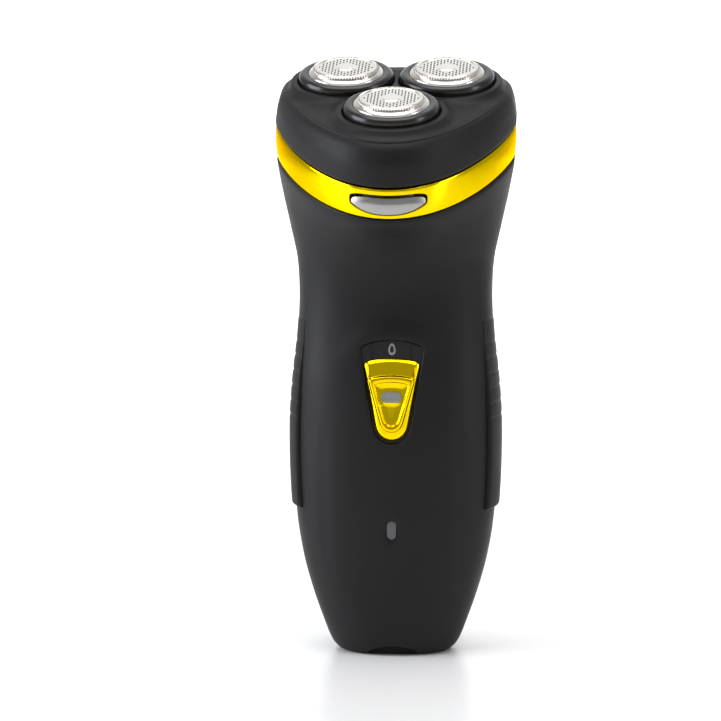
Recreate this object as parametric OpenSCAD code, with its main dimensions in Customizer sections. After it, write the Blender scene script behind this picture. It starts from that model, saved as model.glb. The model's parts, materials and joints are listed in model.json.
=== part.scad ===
// Three-head rotary shaver: hand piece with a tilted, flip-open shaving head.
// Millimetres. +Z up along the handle, -Y is the front with the switch, +X to the front viewer's right.
// The origin is the middle of the flat base that the shaver stands on.

/* [Body] */
// Wall of the two handle shells and of the head cover
wall = 2; // [1.4:0.1:2.4]
// Height of the handle shells at the middle of their depth
shell_top = 133.9; // [132:0.1:134]
// Gap left visible above and below the trim band
trim_gap = 0.35; // [0.2:0.05:0.6]
// Height of the plane where the head parts from the trim band, at the middle of its depth
parting_h = 142.2; // [142:0.1:143]
// Tilt of that parting plane
parting_tilt = 22; // [20:0.5:24]
// How far the side grips stand out of the shells
grip_rise = 1.1; // [0.6:0.1:1.4]

/* [Shaving head] */
// Tilt of the shaving head's axis towards the front
head_tilt = 17; // [15:0.5:19]
// Distance of each cutter axis from the head's own axis
cutter_pitch = 15.5; // [15.4:0.05:16]
// Diameter of a metal guard
guard_d = 20.1; // [19:0.1:20.4]
// Diameter of the black ring around a guard
ring_d = 25.2; // [24.6:0.1:25.3]
// Height of a guard above its ring
guard_rise = 1.5; // [1:0.1:1.8]
// How far a cutter head can be pressed in
float_travel = 1.2; // [0.6:0.1:1.3]

/* [Drive] */
// Width of the gears
gear_w = 3.2; // [2.6:0.1:3.4]
// Length of the motor can
motor_len = 25; // [22:0.5:26]

/* [Power and switch] */
// Diameter of a rechargeable cell
cell_d = 14.2; // [13.8:0.1:14.4]
// Length of a rechargeable cell without its cap
cell_len = 49; // [46:0.5:50]
// Travel of the on-off slider
switch_travel = 4.5; // [3:0.1:4.6]
// Diameter of the charging pins
inlet_pin_d = 2.4; // [2:0.1:2.6]
// Distance between the charging pins
inlet_pitch = 8.6; // [8:0.1:9]
// Travel of the head release button
release_travel = 1.6; // [1:0.1:1.8]

/* [Hidden] */
$fn = 48;

// Stations up the body: height at mid depth, half width, front, back, tilt of the section
stations = [
    [0.3, 15.4, -12.0, 12.4, 0],
    [3, 17.3, -13.2, 13.8, 0],
    [8, 19.3, -14.6, 15.4, 0],
    [16, 22.1, -16.2, 17.2, 0],
    [26, 24.8, -17.8, 19.0, 0],
    [38, 26.6, -19.3, 20.2, 0],
    [56, 27.4, -20.5, 21.0, 0],
    [74, 27.0, -20.0, 20.4, 0],
    [86, 26.2, -18.9, 19.3, 0],
    [97, 25.8, -18.8, 18.7, 1.6],
    [106, 26.3, -20.6, 18.6, 7.2],
    [115, 28.1, -24.2, 18.8, 14.4],
    [125, 30.2, -28.9, 19.3, 21.4],
    [134, 31.7, -34.2, 19.8, 24],
    [142.2, 32.0, -37.0, 20.0, 22],
    [146.5, 31.5, -38.6, 19.9, 19.5],
    [148.5, 31.0, -38.4, 19.3, 18.4],
    [150, 30.3, -37.7, 18.2, 17.4],
    [150.7, 28.9, -36.2, 16.4, 17],
];
neck_h = 95;
side_steps = 20;
ring_steps = 48;

// Heights of the cross-sections of the shells, the head cover and the side grips
shell_heights = concat([0.3, 1.2, 3], [for (i = [0:17]) 6.5 + 83.5 * i / 17],
    [for (i = [0:9]) 94.5 + (shell_top - 94.5) * i / 9]);
cover_bottom = parting_h + 0.1;
cover_heights = concat([for (i = [0:4]) cover_bottom + (148.5 - cover_bottom) * i / 4],
    [149.4, 150, 150.4, 150.7]);
grip_bottom = 39.5;
grip_top = 90;

// Shaving head frame: the centre of the plane of the guard tops
head_centre = [0, -7, 154.3];
// Depths below the plane of the guard tops
plateau_depth = 3.6;
cover_depth = 5.5;
cover_roof = 5.7;
ring_bottom = 6.7;
frame_top = 8.2;
frame_bottom = 9.4;
hub_top = 10.6;
floor_top = 13.6;
floor_bottom = 15;
gear_top = 16.2;
gear_bottom = gear_top + gear_w;
base_top = 20.6;
base_bottom = 22.1;
motor_top = 22.3;
motor_bottom = motor_top + motor_len;
cutter_angles = [150, 30, -90];

ring_r = ring_d / 2;
guard_r = guard_d / 2;
hole_r = ring_r + 0.3;
flange_r = ring_r + 0.6;
hub_r = 2.7;
running = 0.05;

pinion_teeth = 16;
gear_teeth = 32;
gear_module = 2 * cutter_pitch / (pinion_teeth + gear_teeth);
motor_w = 20;
motor_t = 15;

// Hinge of the head cover: the axis, the pin, and two lugs on either side of the cover's knuckle
hinge_y = 21.4;
hinge_z = 150.9;
hinge_pin_r = 0.8;
hinge_pin_len = 28.4;
knuckle_r = 1.9;
lug_x = 10.9;
lug_w = 6.8;
cover_knuckle_w = 14;

// Three screw posts stand between the cutter axes and hold the gearbox under the head frame
post_angles = [90, -30, 210];
post_reach = 14.6;
chassis_hole_r = 0.9;

// The release button in the parting frame: its height, and the back of the plate that the spring pushes
button_z = -3.9;
button_back = -33.6;
button_gap = 0.8;

inlet_root_r = inlet_pin_d / 2 + 0.3;
wire_r = 0.6;
cell_x = 7.35;
cell_y = 2;
cell_z = 34;
board_y = -12.8;
board_z = 29;
board_h = 61;
board_t = 1.6;

// Heights of the two screws that close the shells
post_heights = [21, 95];

// The switch: its recess in the shell, the slider in it and the stem that carries the actuator
switch_tilt = 3;
switch_centre = [0, -20.1, 58.3];
slider_len = 22.2;
recess_len = slider_len + switch_travel + 1.1;
stem_y = 8.5;
stem_len = 5;
window_y = 12.6;
led_h = 35.2;

body_black = [0.13, 0.13, 0.14];
gloss_black = [0.05, 0.05, 0.05];
gold = [0.95, 0.78, 0.05];
steel = [0.78, 0.77, 0.75];
grey = [0.5, 0.5, 0.5];
white = [0.9, 0.9, 0.88];
green = [0.1, 0.4, 0.2];
red = [0.75, 0.1, 0.1];
brass = [0.8, 0.65, 0.3];

// ---- Smooth body surface ----

function smooth(a, b, v) = let (t = min(1, max(0, (v - a) / (b - a)))) t * t * (3 - 2 * t);

function span(h, i = 0) = i >= len(stations) - 2 || h <= stations[i + 1][0] ? i : span(h, i + 1);

function slope(i, c) =
    let (a = max(i - 1, 0), b = min(i + 1, len(stations) - 1))
    (stations[b][c] - stations[a][c]) / (stations[b][0] - stations[a][0]);

// Column c of the stations at height h, through a cubic between its neighbours
function at_height(h, c) =
    let (
        i = span(h),
        d = stations[i + 1][0] - stations[i][0],
        u = (h - stations[i][0]) / d
    )
    stations[i][c] * (2 * u ^ 3 - 3 * u ^ 2 + 1) + slope(i, c) * d * (u ^ 3 - 2 * u ^ 2 + u)
    + stations[i + 1][c] * (3 * u ^ 2 - 2 * u ^ 3) + slope(i + 1, c) * d * (u ^ 3 - u ^ 2);

function front_power(h) = 0.85 + 0.69 * smooth(neck_h, 134, h);
function back_power(h) = 0.8 - 0.3 * smooth(neck_h, 134, h);
function widest_y(h) = -2 * smooth(neck_h, 134, h);

// A point of the body at height h and angle a around it, moved out of the surface by off
function body_point(h, a, off = 0) =
    let (
        c = widest_y(h),
        s = sin(a),
        y = s < 0
            ? c - (c - at_height(h, 2) + off) * pow(-s, front_power(h))
            : c + (at_height(h, 3) + off - c) * pow(s, back_power(h))
    )
    [(at_height(h, 1) + off) * cos(a), y, h + y * tan(at_height(h, 4))];

function body_rows(heights, angles, off = 0) = [for (h = heights) [for (a = angles) body_point(h, a, off)]];

function steps(a, b, n) = [for (i = [0:n]) a + (b - a) * i / n];
function around() = [for (i = [0:ring_steps - 1]) 360 * i / ring_steps];

// A wall between an outer and an inner grid of points; ring closes it all the way round
module skin(outer, inner, ring = false) {
    cols = len(outer[0]);
    top = len(outer) - 1;
    cells = ring ? cols : cols - 1;
    side = len(outer) * cols;
    function o(j, i) = j * cols + i % cols;
    function n(j, i) = side + o(j, i);
    walls = [for (j = [0:top - 1], i = [0:cells - 1]) each [
        [o(j, i), o(j + 1, i), o(j + 1, i + 1)], [o(j, i), o(j + 1, i + 1), o(j, i + 1)],
        [n(j, i), n(j + 1, i + 1), n(j + 1, i)], [n(j, i), n(j, i + 1), n(j + 1, i + 1)]]];
    rims = [for (i = [0:cells - 1]) each [
        [o(0, i), o(0, i + 1), n(0, i + 1), n(0, i)],
        [o(top, i), n(top, i), n(top, i + 1), o(top, i + 1)]]];
    ends = ring ? [] : [for (j = [0:top - 1]) each [
        [o(j, 0), n(j, 0), n(j + 1, 0), o(j + 1, 0)],
        [o(j, cells), o(j + 1, cells), n(j + 1, cells), n(j, cells)]]];
    polyhedron(points = [each for (r = concat(outer, inner)) r], faces = concat(walls, rims, ends));
}

// A closed solid through a stack of outlines
module stack_solid(rows) {
    cols = len(rows[0]);
    top = len(rows) - 1;
    function o(j, i) = j * cols + i % cols;
    walls = [for (j = [0:top - 1], i = [0:cols - 1]) each [
        [o(j, i), o(j + 1, i), o(j + 1, i + 1)], [o(j, i), o(j + 1, i + 1), o(j, i + 1)]]];
    caps = [[for (i = [0:cols - 1]) o(0, i)], [for (i = [cols - 1:-1:0]) o(top, i)]];
    polyhedron(points = [each for (r = rows) r], faces = concat(walls, caps));
}

// Keeps the size; it makes one mesh of a free-form wall and its cut-outs
module meshed() resize([0, 0, 0]) children();

// ---- Tubes along a path ----

function unit(v) = v / norm(v);

function heading(path, i) = unit(path[min(i + 1, len(path) - 1)] - path[max(i - 1, 0)]);

// A round tube along a path; no stretch of the path may run along the vector across
module tube_along(path, r, across, sides = 8) {
    rows = [for (i = [0:len(path) - 1])
        let (t = heading(path, i), u = unit(cross(t, across)), v = cross(t, u))
        [for (k = [0:sides - 1]) path[i] + r * (u * cos(360 * k / sides) + v * sin(360 * k / sides))]];
    stack_solid(rows);
}

// A smooth curve through a few points
function curve(p, per = 4) = concat([for (i = [0:len(p) - 2], k = [0:per - 1])
    let (
        u = k / per,
        a = p[max(i - 1, 0)],
        b = p[i],
        c = p[i + 1],
        d = p[min(i + 2, len(p) - 1)]
    )
    0.5 * (2 * b + (c - a) * u + (2 * a - 5 * b + 4 * c - d) * u ^ 2 + (3 * b - a - 3 * c + d) * u ^ 3)],
    [p[len(p) - 1]]);

// A coil spring standing on the XY plane, its outside within coil_r
module spring(coil_r, wire_r, length, turns) {
    per = 12;
    n = turns * per;
    rise = length - 2 * wire_r;
    path = [for (i = [0:n]) [(coil_r - wire_r) * cos(360 * i / per), (coil_r - wire_r) * sin(360 * i / per),
        wire_r + rise * i / n]];
    tube_along(path, wire_r, [0, 0, 1], 6);
}

// ---- Frames ----

// Local z = 0 is the plane of the guard tops and z points out of the head
module in_head() translate(head_centre) rotate([head_tilt, 0, 0]) children();

// At cutter n, z = 0 at the given depth below the guard tops
module at_cutter(n, depth = 0) in_head()
    translate([cutter_pitch * cos(cutter_angles[n]), cutter_pitch * sin(cutter_angles[n]), -depth])
        children();

// Local z = 0 is the parting plane, and local -y points out of the front
module in_parting() translate([0, 0, parting_h]) rotate([parting_tilt, 0, 0]) children();

// Local origin at the bottom of the switch recess, local y along the slider's travel, z outward
module in_switch() translate(switch_centre) rotate([90 - switch_tilt, 0, 0]) children();

module disc(r, top, bottom) translate([0, 0, -bottom]) cylinder(r = r, h = bottom - top);

// ---- Outlines ----

// A shield: round at the bottom, straight sides that widen upwards, and a crowned top
module shield(half_w, bottom_r, height, crown) {
    shoulder = height - crown;
    reach = [half_w, shoulder - bottom_r];
    lean = asin(bottom_r / norm(reach)) - atan2(reach[0], reach[1]);
    bottom = [for (a = steps(lean, -180 - lean, 16)) [bottom_r * cos(a), bottom_r + bottom_r * sin(a)]];
    crown_r = (half_w ^ 2 + crown ^ 2) / (2 * crown);
    spread = asin(half_w / crown_r);
    top = [for (a = steps(90 + spread, 90 - spread, 12))
        [crown_r * cos(a), height - crown_r + crown_r * sin(a)]];
    polygon(concat(bottom, top));
}

module stadium(half_w, half_h) {
    for (s = [-1, 1]) translate([0, s * (half_h - half_w)]) circle(half_w);
    square([2 * half_w, 2 * (half_h - half_w)], center = true);
}

// The three overlapping discs around the cutter axes
module trefoil(r) {
    for (a = cutter_angles) translate([cutter_pitch * cos(a), cutter_pitch * sin(a)]) circle(r);
    circle(r);
}

// Involute spur gear with a shortened addendum and some backlash
module spur_gear(teeth, phase) {
    pressure = 20;
    backlash = 0.12;
    pitch_r = gear_module * teeth / 2;
    base_r = pitch_r * cos(pressure);
    tip_r = pitch_r + 0.85 * gear_module;
    root_r = pitch_r - 1.15 * gear_module;
    start_r = max(base_r, root_r);
    function roll(r) = sqrt(max(0, (r / base_r) ^ 2 - 1)) * 180 / PI;
    function spread(r) = roll(r) - atan(roll(r) * PI / 180);
    half = 90 / teeth - backlash / 2 / pitch_r * 180 / PI + spread(pitch_r);
    flank = [for (r = steps(start_r, tip_r, 4)) [r, half - spread(r)]];
    tooth = concat([[root_r, flank[0][1] + 0.6]], flank,
        [for (i = [4:-1:0]) [flank[i][0], -flank[i][1]]], [[root_r, -flank[0][1] - 0.6]]);
    polygon([for (k = [0:teeth - 1], p = tooth)
        let (a = phase - p[1] + 360 * k / teeth) [p[0] * cos(a), p[0] * sin(a)]]);
}

// ---- Handle shells ----

// A round boss along y for a case screw
module screw_post(z, from_y, to_y, r) translate([0, from_y, z]) rotate([-90, 0, 0])
    cylinder(r = r, h = to_y - from_y, $fn = 24);

module front_shell() color(body_black) meshed() difference() {
    union() {
        skin(body_rows(shell_heights, steps(180, 360, side_steps)),
            body_rows(shell_heights, steps(180, 360, side_steps), -wall));
        for (z = post_heights) screw_post(z, at_height(z, 2) + 0.8, -0.5, 3);
    }
    for (z = post_heights) screw_post(z, -12, 1, 0.9);
    in_switch() translate([0, 0, -6]) linear_extrude(12) shield(8.6, 5.2, recess_len, 2.1);
    translate([0, 0, led_h]) rotate([90, 0, 0]) linear_extrude(30) stadium(1.25, 2.45, $fn = 24);
    inlet_scoop();
}

// The crescent cut into the front edge of the base, at the inlet
module inlet_scoop() translate([0, -9.7, -10]) rotate([90, 0, 0]) cylinder(r = 12.8, h = 12);

module rear_shell() color(body_black) meshed() difference() {
    union() {
        skin(body_rows(shell_heights, steps(0, 180, side_steps)),
            body_rows(shell_heights, steps(0, 180, side_steps), -wall));
        for (z = post_heights) screw_post(z, 0.5, 17.5, 3.4);
    }
    for (z = post_heights) {
        screw_post(z, -1, 8, 1.3);
        screw_post(z, 5, 25, 2.6);
    }
}

module case_screws() color(steel) for (z = post_heights) {
    screw_post(z, 5.02, 6.8, 2.3, $fn = 48);
    translate([0, -8, z]) rotate([-90, 0, 0]) cylinder(r = 0.88, h = 14);
}

// A raised soft pad over one side of the handle; middle is the angle it is centred on
module grip(middle) {
    heights = steps(grip_bottom, grip_top, 16);
    angles = steps(middle - 25, middle + 25, 12);
    function rise(h) = 0.1 + (grip_rise - 0.1) * (1 - smooth(62, 92, h));
    outer = [for (h = heights) [for (a = angles)
        let (edge = abs(a - middle) > 24 ? 0.5 : 1) body_point(h, a, 0.03 + rise(h) * edge)]];
    skin(outer, body_rows(heights, angles, 0.03));
}

module grip_left() color(body_black) grip(180);
module grip_right() color(body_black) grip(0);

module base_cap() color(body_black) difference() {
    union() {
        linear_extrude(3.2) polygon([for (a = around())
            let (p = body_point(0.3, a, -wall - 0.15)) [p[0], p[1]]]);
        linear_extrude(15.5) rotate(90) stadium(5.4, inlet_pitch / 2 + 5.4);
    }
    translate([0, 0, -1]) linear_extrude(14) rotate(90) stadium(4.2, inlet_pitch / 2 + 4.2);
    for (s = [-1, 1]) translate([s * inlet_pitch / 2, 0, 10]) cylinder(r = inlet_root_r + running, h = 8);
    inlet_scoop();
}

// A round-nosed contact pin that points down out of the base
module inlet_pin(side) color(steel) translate([side * inlet_pitch / 2, 0, 0]) rotate_extrude() polygon([
    [0, 2], [inlet_pin_d / 2 - 0.5, 2], [inlet_pin_d / 2, 2.8], [inlet_pin_d / 2, 12.6],
    [inlet_root_r, 12.7], [inlet_root_r, 17], [0, 17]]);

module inlet_pins() for (side = [-1, 1]) inlet_pin(side);

module trim_band() color(gold) meshed() {
    low = shell_top + trim_gap;
    high = parting_h - trim_gap;
    difference() {
        skin(body_rows(steps(low, high, 5), around()), body_rows(steps(low, high, 5), around(), -1.4), true);
        in_parting() translate([0, -38, button_z]) cube([20.8, 12, 5.1], center = true);
        in_parting() translate([0, 22, -0.6]) cube([2 * lug_x + lug_w + 0.8, 12, 5.4], center = true);
    }
}

// ---- Switch and light ----

module switch_track() color(gloss_black) in_switch() difference() {
    translate([0, 0, -3.4]) union() {
        translate([0, 0.3, 0]) linear_extrude(2) shield(8.3, 4.9, recess_len - 0.6, 2);
        translate([-10.5, -1.5, -0.6]) cube([21, 31, 0.6]);
    }
    translate([-1.6, stem_y - 2.5, -5]) cube([3.2, stem_len + switch_travel + 3, 5]);
    for (s = [-1, 1]) translate([s * 5.1 - 0.25, 22.6, -1.9]) cube([0.5, 4, 2]);
}

// The gold slider, its raised rim and the stem that reaches the switch behind the track
module switch_slider() color(gold) in_switch() difference() {
    union() {
        translate([0, 0.7, -1.3]) linear_extrude(1.3) shield(7.5, 4.5, slider_len, 1.2);
        translate([0, 3.1, 0]) linear_extrude(0.8) difference() {
            shield(6.4, 3.2, 15.4, 0.9);
            translate([0, 2, 0]) shield(4.6, 2, 11.5, 0.7);
        }
        translate([-1.3, stem_y, -4.15]) cube([2.6, stem_len, 2.95]);
    }
    translate([0, window_y, -0.8]) linear_extrude(2) rotate(90) stadium(1.5, 2.8);
}

module slider_window() color(steel) in_switch() translate([0, window_y, -0.78]) linear_extrude(1.3)
    rotate(90) stadium(1.42, 2.72);

module switch_actuator() color(white) in_switch() translate([-1, stem_y + 1, -6.25])
    cube([2, stem_len - 2, 2.08]);

module slide_switch() color(grey) difference() {
    translate([-4.3, board_y - 2.1, 64.5]) cube([8.6, 2.1, 13]);
    in_switch() translate([-1.2, stem_y + 0.3, -7.2]) cube([2.4, stem_len + switch_travel - 0.3, 5]);
}

module led_lens() color([0.8, 0.8, 0.82]) translate([0, 0, led_h]) rotate([90, 0, 0]) {
    translate([0, 0, 16.2]) linear_extrude(2.35) stadium(1.2, 2.4);
    translate([0, 0, 15.4]) linear_extrude(0.8) stadium(2.2, 3.4);
}

module charge_led() color(red) translate([-1.4, board_y - 2.1, led_h - 1.4]) cube([2.8, 2.1, 2.8]);

// ---- Circuit board and cells ----

module circuit_board() color(green) difference() {
    translate([-12, board_y, board_z]) cube([24, board_t, board_h]);
    screw_post(post_heights[1], board_y - 1, board_y + 3, 3.4);
}

module board_components() color(gloss_black) {
    translate([-9, board_y - 1.2, 46]) cube([6, 1.2, 5]);
    translate([3.5, board_y - 0.8, 44]) cube([4.5, 0.8, 3]);
    translate([-8.5, board_y + board_t, 31]) cube([17, 2, 2.6]);
    translate([7, board_y - 3.4, 54]) rotate([-90, 0, 0]) cylinder(r = 2.2, h = 3.4);
}

module battery(side) color([0.15, 0.35, 0.2]) translate([side * cell_x, cell_y, cell_z]) {
    cylinder(d = cell_d, h = cell_len);
    translate([0, 0, side < 0 ? cell_len : -1]) cylinder(r = 2.6, h = 1);
}

module battery_cells() for (side = [-1, 1]) battery(side);

// One strip joins the cells below; two separate strips lead to the board above
module contact_tabs() color(steel) {
    translate([-cell_x - 3, cell_y - 2, cell_z - 1.3]) cube([2 * cell_x + 6, 4, 0.3]);
    translate([-cell_x - 2.5, -10.9, cell_z + cell_len + 1]) cube([5, 15, 0.3]);
    translate([cell_x - 2.5, -10.9, cell_z + cell_len]) cube([5, 15, 0.3]);
}

module battery_cradle() color(grey) difference() {
    translate([-16.5, -9, cell_z - 2.5]) cube([33, 13, cell_len + 5]);
    for (s = [-1, 1]) translate([s * cell_x, cell_y, cell_z - 1.3])
        cylinder(d = cell_d + 0.3, h = cell_len + 2.6);
    translate([-12.5, -12, cell_z + cell_len - 0.4]) cube([25, 18, 2.1]);
    translate([-10.6, -0.2, cell_z - 1.4]) cube([21.2, 6, 0.7]);
    translate([-12, -2, cell_z + 8]) cube([24, 10, cell_len - 16]);
}

// ---- Motor ----

module oval(r, half_t, top, bottom) intersection() {
    disc(r, top, bottom);
    translate([-r, -half_t, -bottom]) cube([2 * r, 2 * half_t, bottom - top]);
}

module motor_can() color(steel) in_head() difference() {
    union() {
        oval(motor_w / 2, motor_t / 2, motor_top, motor_bottom);
        disc(3, base_top + 0.3, motor_top + 0.5);
    }
    oval(motor_w / 2 - 0.6, motor_t / 2 - 0.6, motor_top + 0.8, motor_bottom + 1);
    disc(1 + running, 18, motor_bottom);
}

module motor_end_cap() color(white) in_head() difference() {
    oval(motor_w / 2, motor_t / 2, motor_bottom, motor_bottom + 2.6);
    disc(1 + running, motor_bottom - 1, motor_bottom + 2);
}

// Two curved magnets against the inside of the can
module motor_magnets() color(gloss_black) in_head() difference() {
    disc(motor_w / 2 - 0.65, motor_top + 3, motor_bottom - 5);
    disc(6.9, motor_top, motor_bottom);
    for (s = [-1, 1]) translate([-15, s * 10 - 5, -motor_bottom]) cube([30, s < 0 ? 8.5 : 10, motor_len]);
    translate([-15, 1.5, -motor_bottom]) cube([30, 12, motor_len]);
}

module motor_rotor() color(grey) in_head() {
    disc(1, gear_top, motor_bottom + 1.8);
    disc(6.4, motor_top + 3.5, motor_bottom - 6);
    disc(2.6, motor_bottom - 5, motor_bottom - 1);
}

module pinion() color(brass) in_head() difference() {
    translate([0, 0, -gear_bottom]) linear_extrude(gear_w) spur_gear(pinion_teeth, 0);
    disc(1, gear_top - 1, gear_bottom + 1);
}

// ---- Gears and spindles ----

// A driven gear with the hollow hub that carries a spindle through the chamber floor
module drive_gear(n) color(white) at_cutter(n) difference() {
    union() {
        translate([0, 0, -gear_bottom]) linear_extrude(gear_w) spur_gear(gear_teeth, 180 / gear_teeth);
        disc(hub_r, hub_top, gear_top + 1);
        disc(2.6, gear_bottom - 1, base_top - 0.3);
    }
    translate([-1.4, -1.4, -17.4]) cube([2.8, 2.8, 10]);
    disc(1 + running, 18, base_top);
}

module gear_left() drive_gear(0);
module gear_right() drive_gear(1);
module gear_front() drive_gear(2);

module gear_axles() color(steel) for (n = [0:2]) at_cutter(n) disc(1, 18.2, base_bottom);

// A square shaft that slides in the gear hub, with a flat drive tip
module spindle(n) color(white) at_cutter(n) {
    translate([-1.35, -1.35, -14]) cube([2.7, 2.7, 6.2]);
    translate([-0.6, -1.6, -8]) cube([1.2, 3.2, 2.8]);
}

module spindle_left() spindle(0);
module spindle_right() spindle(1);
module spindle_front() spindle(2);

module spindle_spring(n) color(steel) at_cutter(n, 17.36) spring(1.3, 0.17, 3.3, 5);

module spindle_spring_left() spindle_spring(0);
module spindle_spring_right() spindle_spring(1);
module spindle_spring_front() spindle_spring(2);

// ---- Gearbox and head frame ----

module at_posts() in_head() for (a = post_angles)
    translate([post_reach * cos(a), post_reach * sin(a), 0]) children();

module gearbox_base() color(grey) difference() {
    in_head() translate([0, 0, -base_bottom]) linear_extrude(base_bottom - base_top) intersection() {
        circle(21.3);
        translate([-30, -24]) square([60, 40.8]);
    }
    in_head() disc(3 + running, base_top - 1, base_bottom + 1);
    for (n = [0:2]) at_cutter(n) disc(1, base_top - 1, base_bottom + 1);
    at_posts() disc(1.1, base_top - 1, base_bottom + 1);
}

module chassis_screws() color(steel) at_posts() {
    disc(2, base_bottom, base_bottom + 1.3);
    disc(chassis_hole_r, base_top - 4, base_bottom + 0.1);
}

// Outline of the head frame in the parting plane, drawn in further at the back, where the wall leans in
frame_outline = [for (a = around())
    let (p = body_point(parting_h, a, -2.2 - 1.5 * max(0, sin(a)))) [p[0], p[1] / cos(parting_tilt)]];

module head_frame() color(body_black) difference() {
    union() {
        in_parting() translate([0, 0, -4.9]) linear_extrude(4.5) polygon(frame_outline);
        at_posts() disc(2.4, floor_bottom + 1.5, base_top);
        hinge_lugs();
    }
    in_head() translate([0, 0, -24]) linear_extrude(20) trefoil(11.4);
    at_posts() {
        disc(4, 8, floor_bottom);
        disc(chassis_hole_r, floor_bottom - 1, base_top + 1);
    }
    in_parting() translate([-11.5, button_back - 7.2, -7])
        cube([23, 7.2 + release_travel + button_gap, 8]);
    hinge_bar(hinge_pin_r, -20, 40);
}

// A round bar along the hinge axis, starting at x
module hinge_bar(r, x, length)
    translate([x, hinge_y, hinge_z]) rotate([0, 90, 0]) cylinder(r = r, h = length);

module knuckle(x, length) hinge_bar(knuckle_r, x, length);

// Two ears that reach back under the parting plane to the hinge axis
module hinge_lugs() for (s = [-1, 1]) {
    knuckle(s * lug_x - lug_w / 2, lug_w);
    in_parting() translate([s * lug_x - lug_w / 2 + 0.3, 14, -2.3]) cube([lug_w - 0.6, 7.9, 1.9]);
}

module chamber_floor() color(gloss_black) difference() {
    union() {
        in_head() translate([0, 0, -floor_bottom]) linear_extrude(floor_bottom - floor_top) trefoil(11.2);
        for (n = [0:2]) at_cutter(n) disc(3.6, floor_top - 1.2, floor_top + 0.2);
        at_posts() disc(3.8, floor_top, floor_bottom);
    }
    for (n = [0:2]) at_cutter(n) disc(hub_r + running, 10, 18);
}

module spindle_seals() color(grey) for (n = [0:2]) at_cutter(n) difference() {
    disc(4.6, floor_top - 1, floor_top);
    disc(3.6, floor_top - 3, floor_top + 1);
}

module hinge_pin() color(steel) hinge_bar(hinge_pin_r, -hinge_pin_len / 2, hinge_pin_len);

// ---- Release button ----

module release_button() color(steel) {
    heights = steps(136.75, 140.65, 4);
    angles = steps(270 - 18.1, 270 + 18.1, 12);
    skin(body_rows(heights, angles, 0.15), body_rows(heights, angles, -2.6));
    in_parting() {
        translate([0, button_back - 2.4, button_z]) cube([13, 4, 3.2], center = true);
        translate([0, button_back - 0.5, button_z]) cube([22, 1, 5.8], center = true);
        translate([-4, button_back - 1, button_z]) cube([8, 1, 5.4]);
    }
}

module release_spring() color(steel) in_parting() translate([0, button_back + 0.02, button_z])
    rotate([-90, 0, 0]) spring(1.9, 0.25, release_travel + 0.7, 3);

// ---- Shaving head ----

module head_cover() color(body_black) {
    meshed() difference() {
        union() {
            stack_solid(body_rows(cover_heights, around()));
            in_head() translate([0, 0, -cover_depth - 0.4]) linear_extrude(cover_depth - plateau_depth + 0.4)
                trefoil(15.5);
        }
        difference() {
            union() {
                stack_solid(body_rows(concat([parting_h - 0.2], [for (h = cover_heights) if (h > 143) h]),
                    around(), -wall));
                for (n = [0:2]) at_cutter(n) disc(flange_r + 0.2, 4, ring_bottom + float_travel + 0.3);
            }
            in_head() disc(40, 0, cover_roof);
            in_head() disc(2.1, 0, frame_bottom - 0.1);
        }
        for (n = [0:2]) at_cutter(n) disc(hole_r, -1, cover_depth + 4);
        in_head() disc(1.3, cover_roof + 0.3, 20, $fn = 24);
        for (s = [-1, 1]) translate([s * lug_x - lug_w / 2 - 0.3, 0, 0]) rotate([90, 0, 90])
            translate([hinge_y, hinge_z, 0]) cylinder(r = knuckle_r + 0.25, h = lug_w + 0.6, $fn = 24);
    }
    difference() {
        union() {
            knuckle(-cover_knuckle_w / 2, cover_knuckle_w);
            in_parting() translate([0.3 - cover_knuckle_w / 2, 18.4, 0.4])
                cube([cover_knuckle_w - 0.6, 3.5, 2]);
        }
        hinge_bar(hinge_pin_r + running, -20, 40);
    }
}

module guard_ring(n) color(gloss_black) at_cutter(n) difference() {
    union() {
        disc(ring_r, guard_rise, cover_roof + 0.2);
        disc(flange_r, cover_roof + 0.1, ring_bottom);
    }
    disc(guard_r + 0.02, guard_rise - 1, ring_bottom - 1.2);
    disc(guard_r - 0.8, guard_rise, ring_bottom + 1);
}

module guard_ring_left() guard_ring(0);
module guard_ring_right() guard_ring(1);
module guard_ring_front() guard_ring(2);

// The metal cap: a thin top, a raised rim around the hair field and a skirt inside the ring
module guard(n) color(steel) at_cutter(n) difference() {
    union() {
        disc(guard_r, 0.2, ring_bottom - 1.25);
        difference() {
            disc(guard_r - 1.6, 0, 0.3);
            disc(guard_r - 2.4, -1, 0.3);
        }
        disc(2.4, 0, 0.3);
    }
    disc(guard_r - 0.45, 0.55, ring_bottom);
}

module guard_left() guard(0);
module guard_right() guard(1);
module guard_front() guard(2);

// A steel disc with a ring of upright blades that run under the guard
module cutter(n) color(steel) at_cutter(n) {
    difference() {
        disc(8.6, 2.2, 2.6);
        for (k = [0:8]) rotate(40 * k) translate([5.4, 0, -3]) cylinder(r = 1.3, h = 2);
    }
    for (k = [0:8]) rotate(40 * k + 20) translate([6.6, -0.35, -2.3]) cube([2, 0.7, 1.6]);
}

module cutter_left() cutter(0);
module cutter_right() cutter(1);
module cutter_front() cutter(2);

// The plastic hub under each cutter, with the socket that the spindle tip drives
module cutter_carrier(n) color(gloss_black) at_cutter(n) difference() {
    union() {
        disc(6, 2.6, 3.6);
        disc(3.9, 3.5, 7);
    }
    difference() {
        disc(2.9, 4.2, 8);
        for (s = [-1, 1]) translate([s * 2.4 - 1.45, -0.8, -8]) cube([2.9, 1.6, 4]);
    }
}

module carrier_left() cutter_carrier(0);
module carrier_right() cutter_carrier(1);
module carrier_front() cutter_carrier(2);

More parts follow.
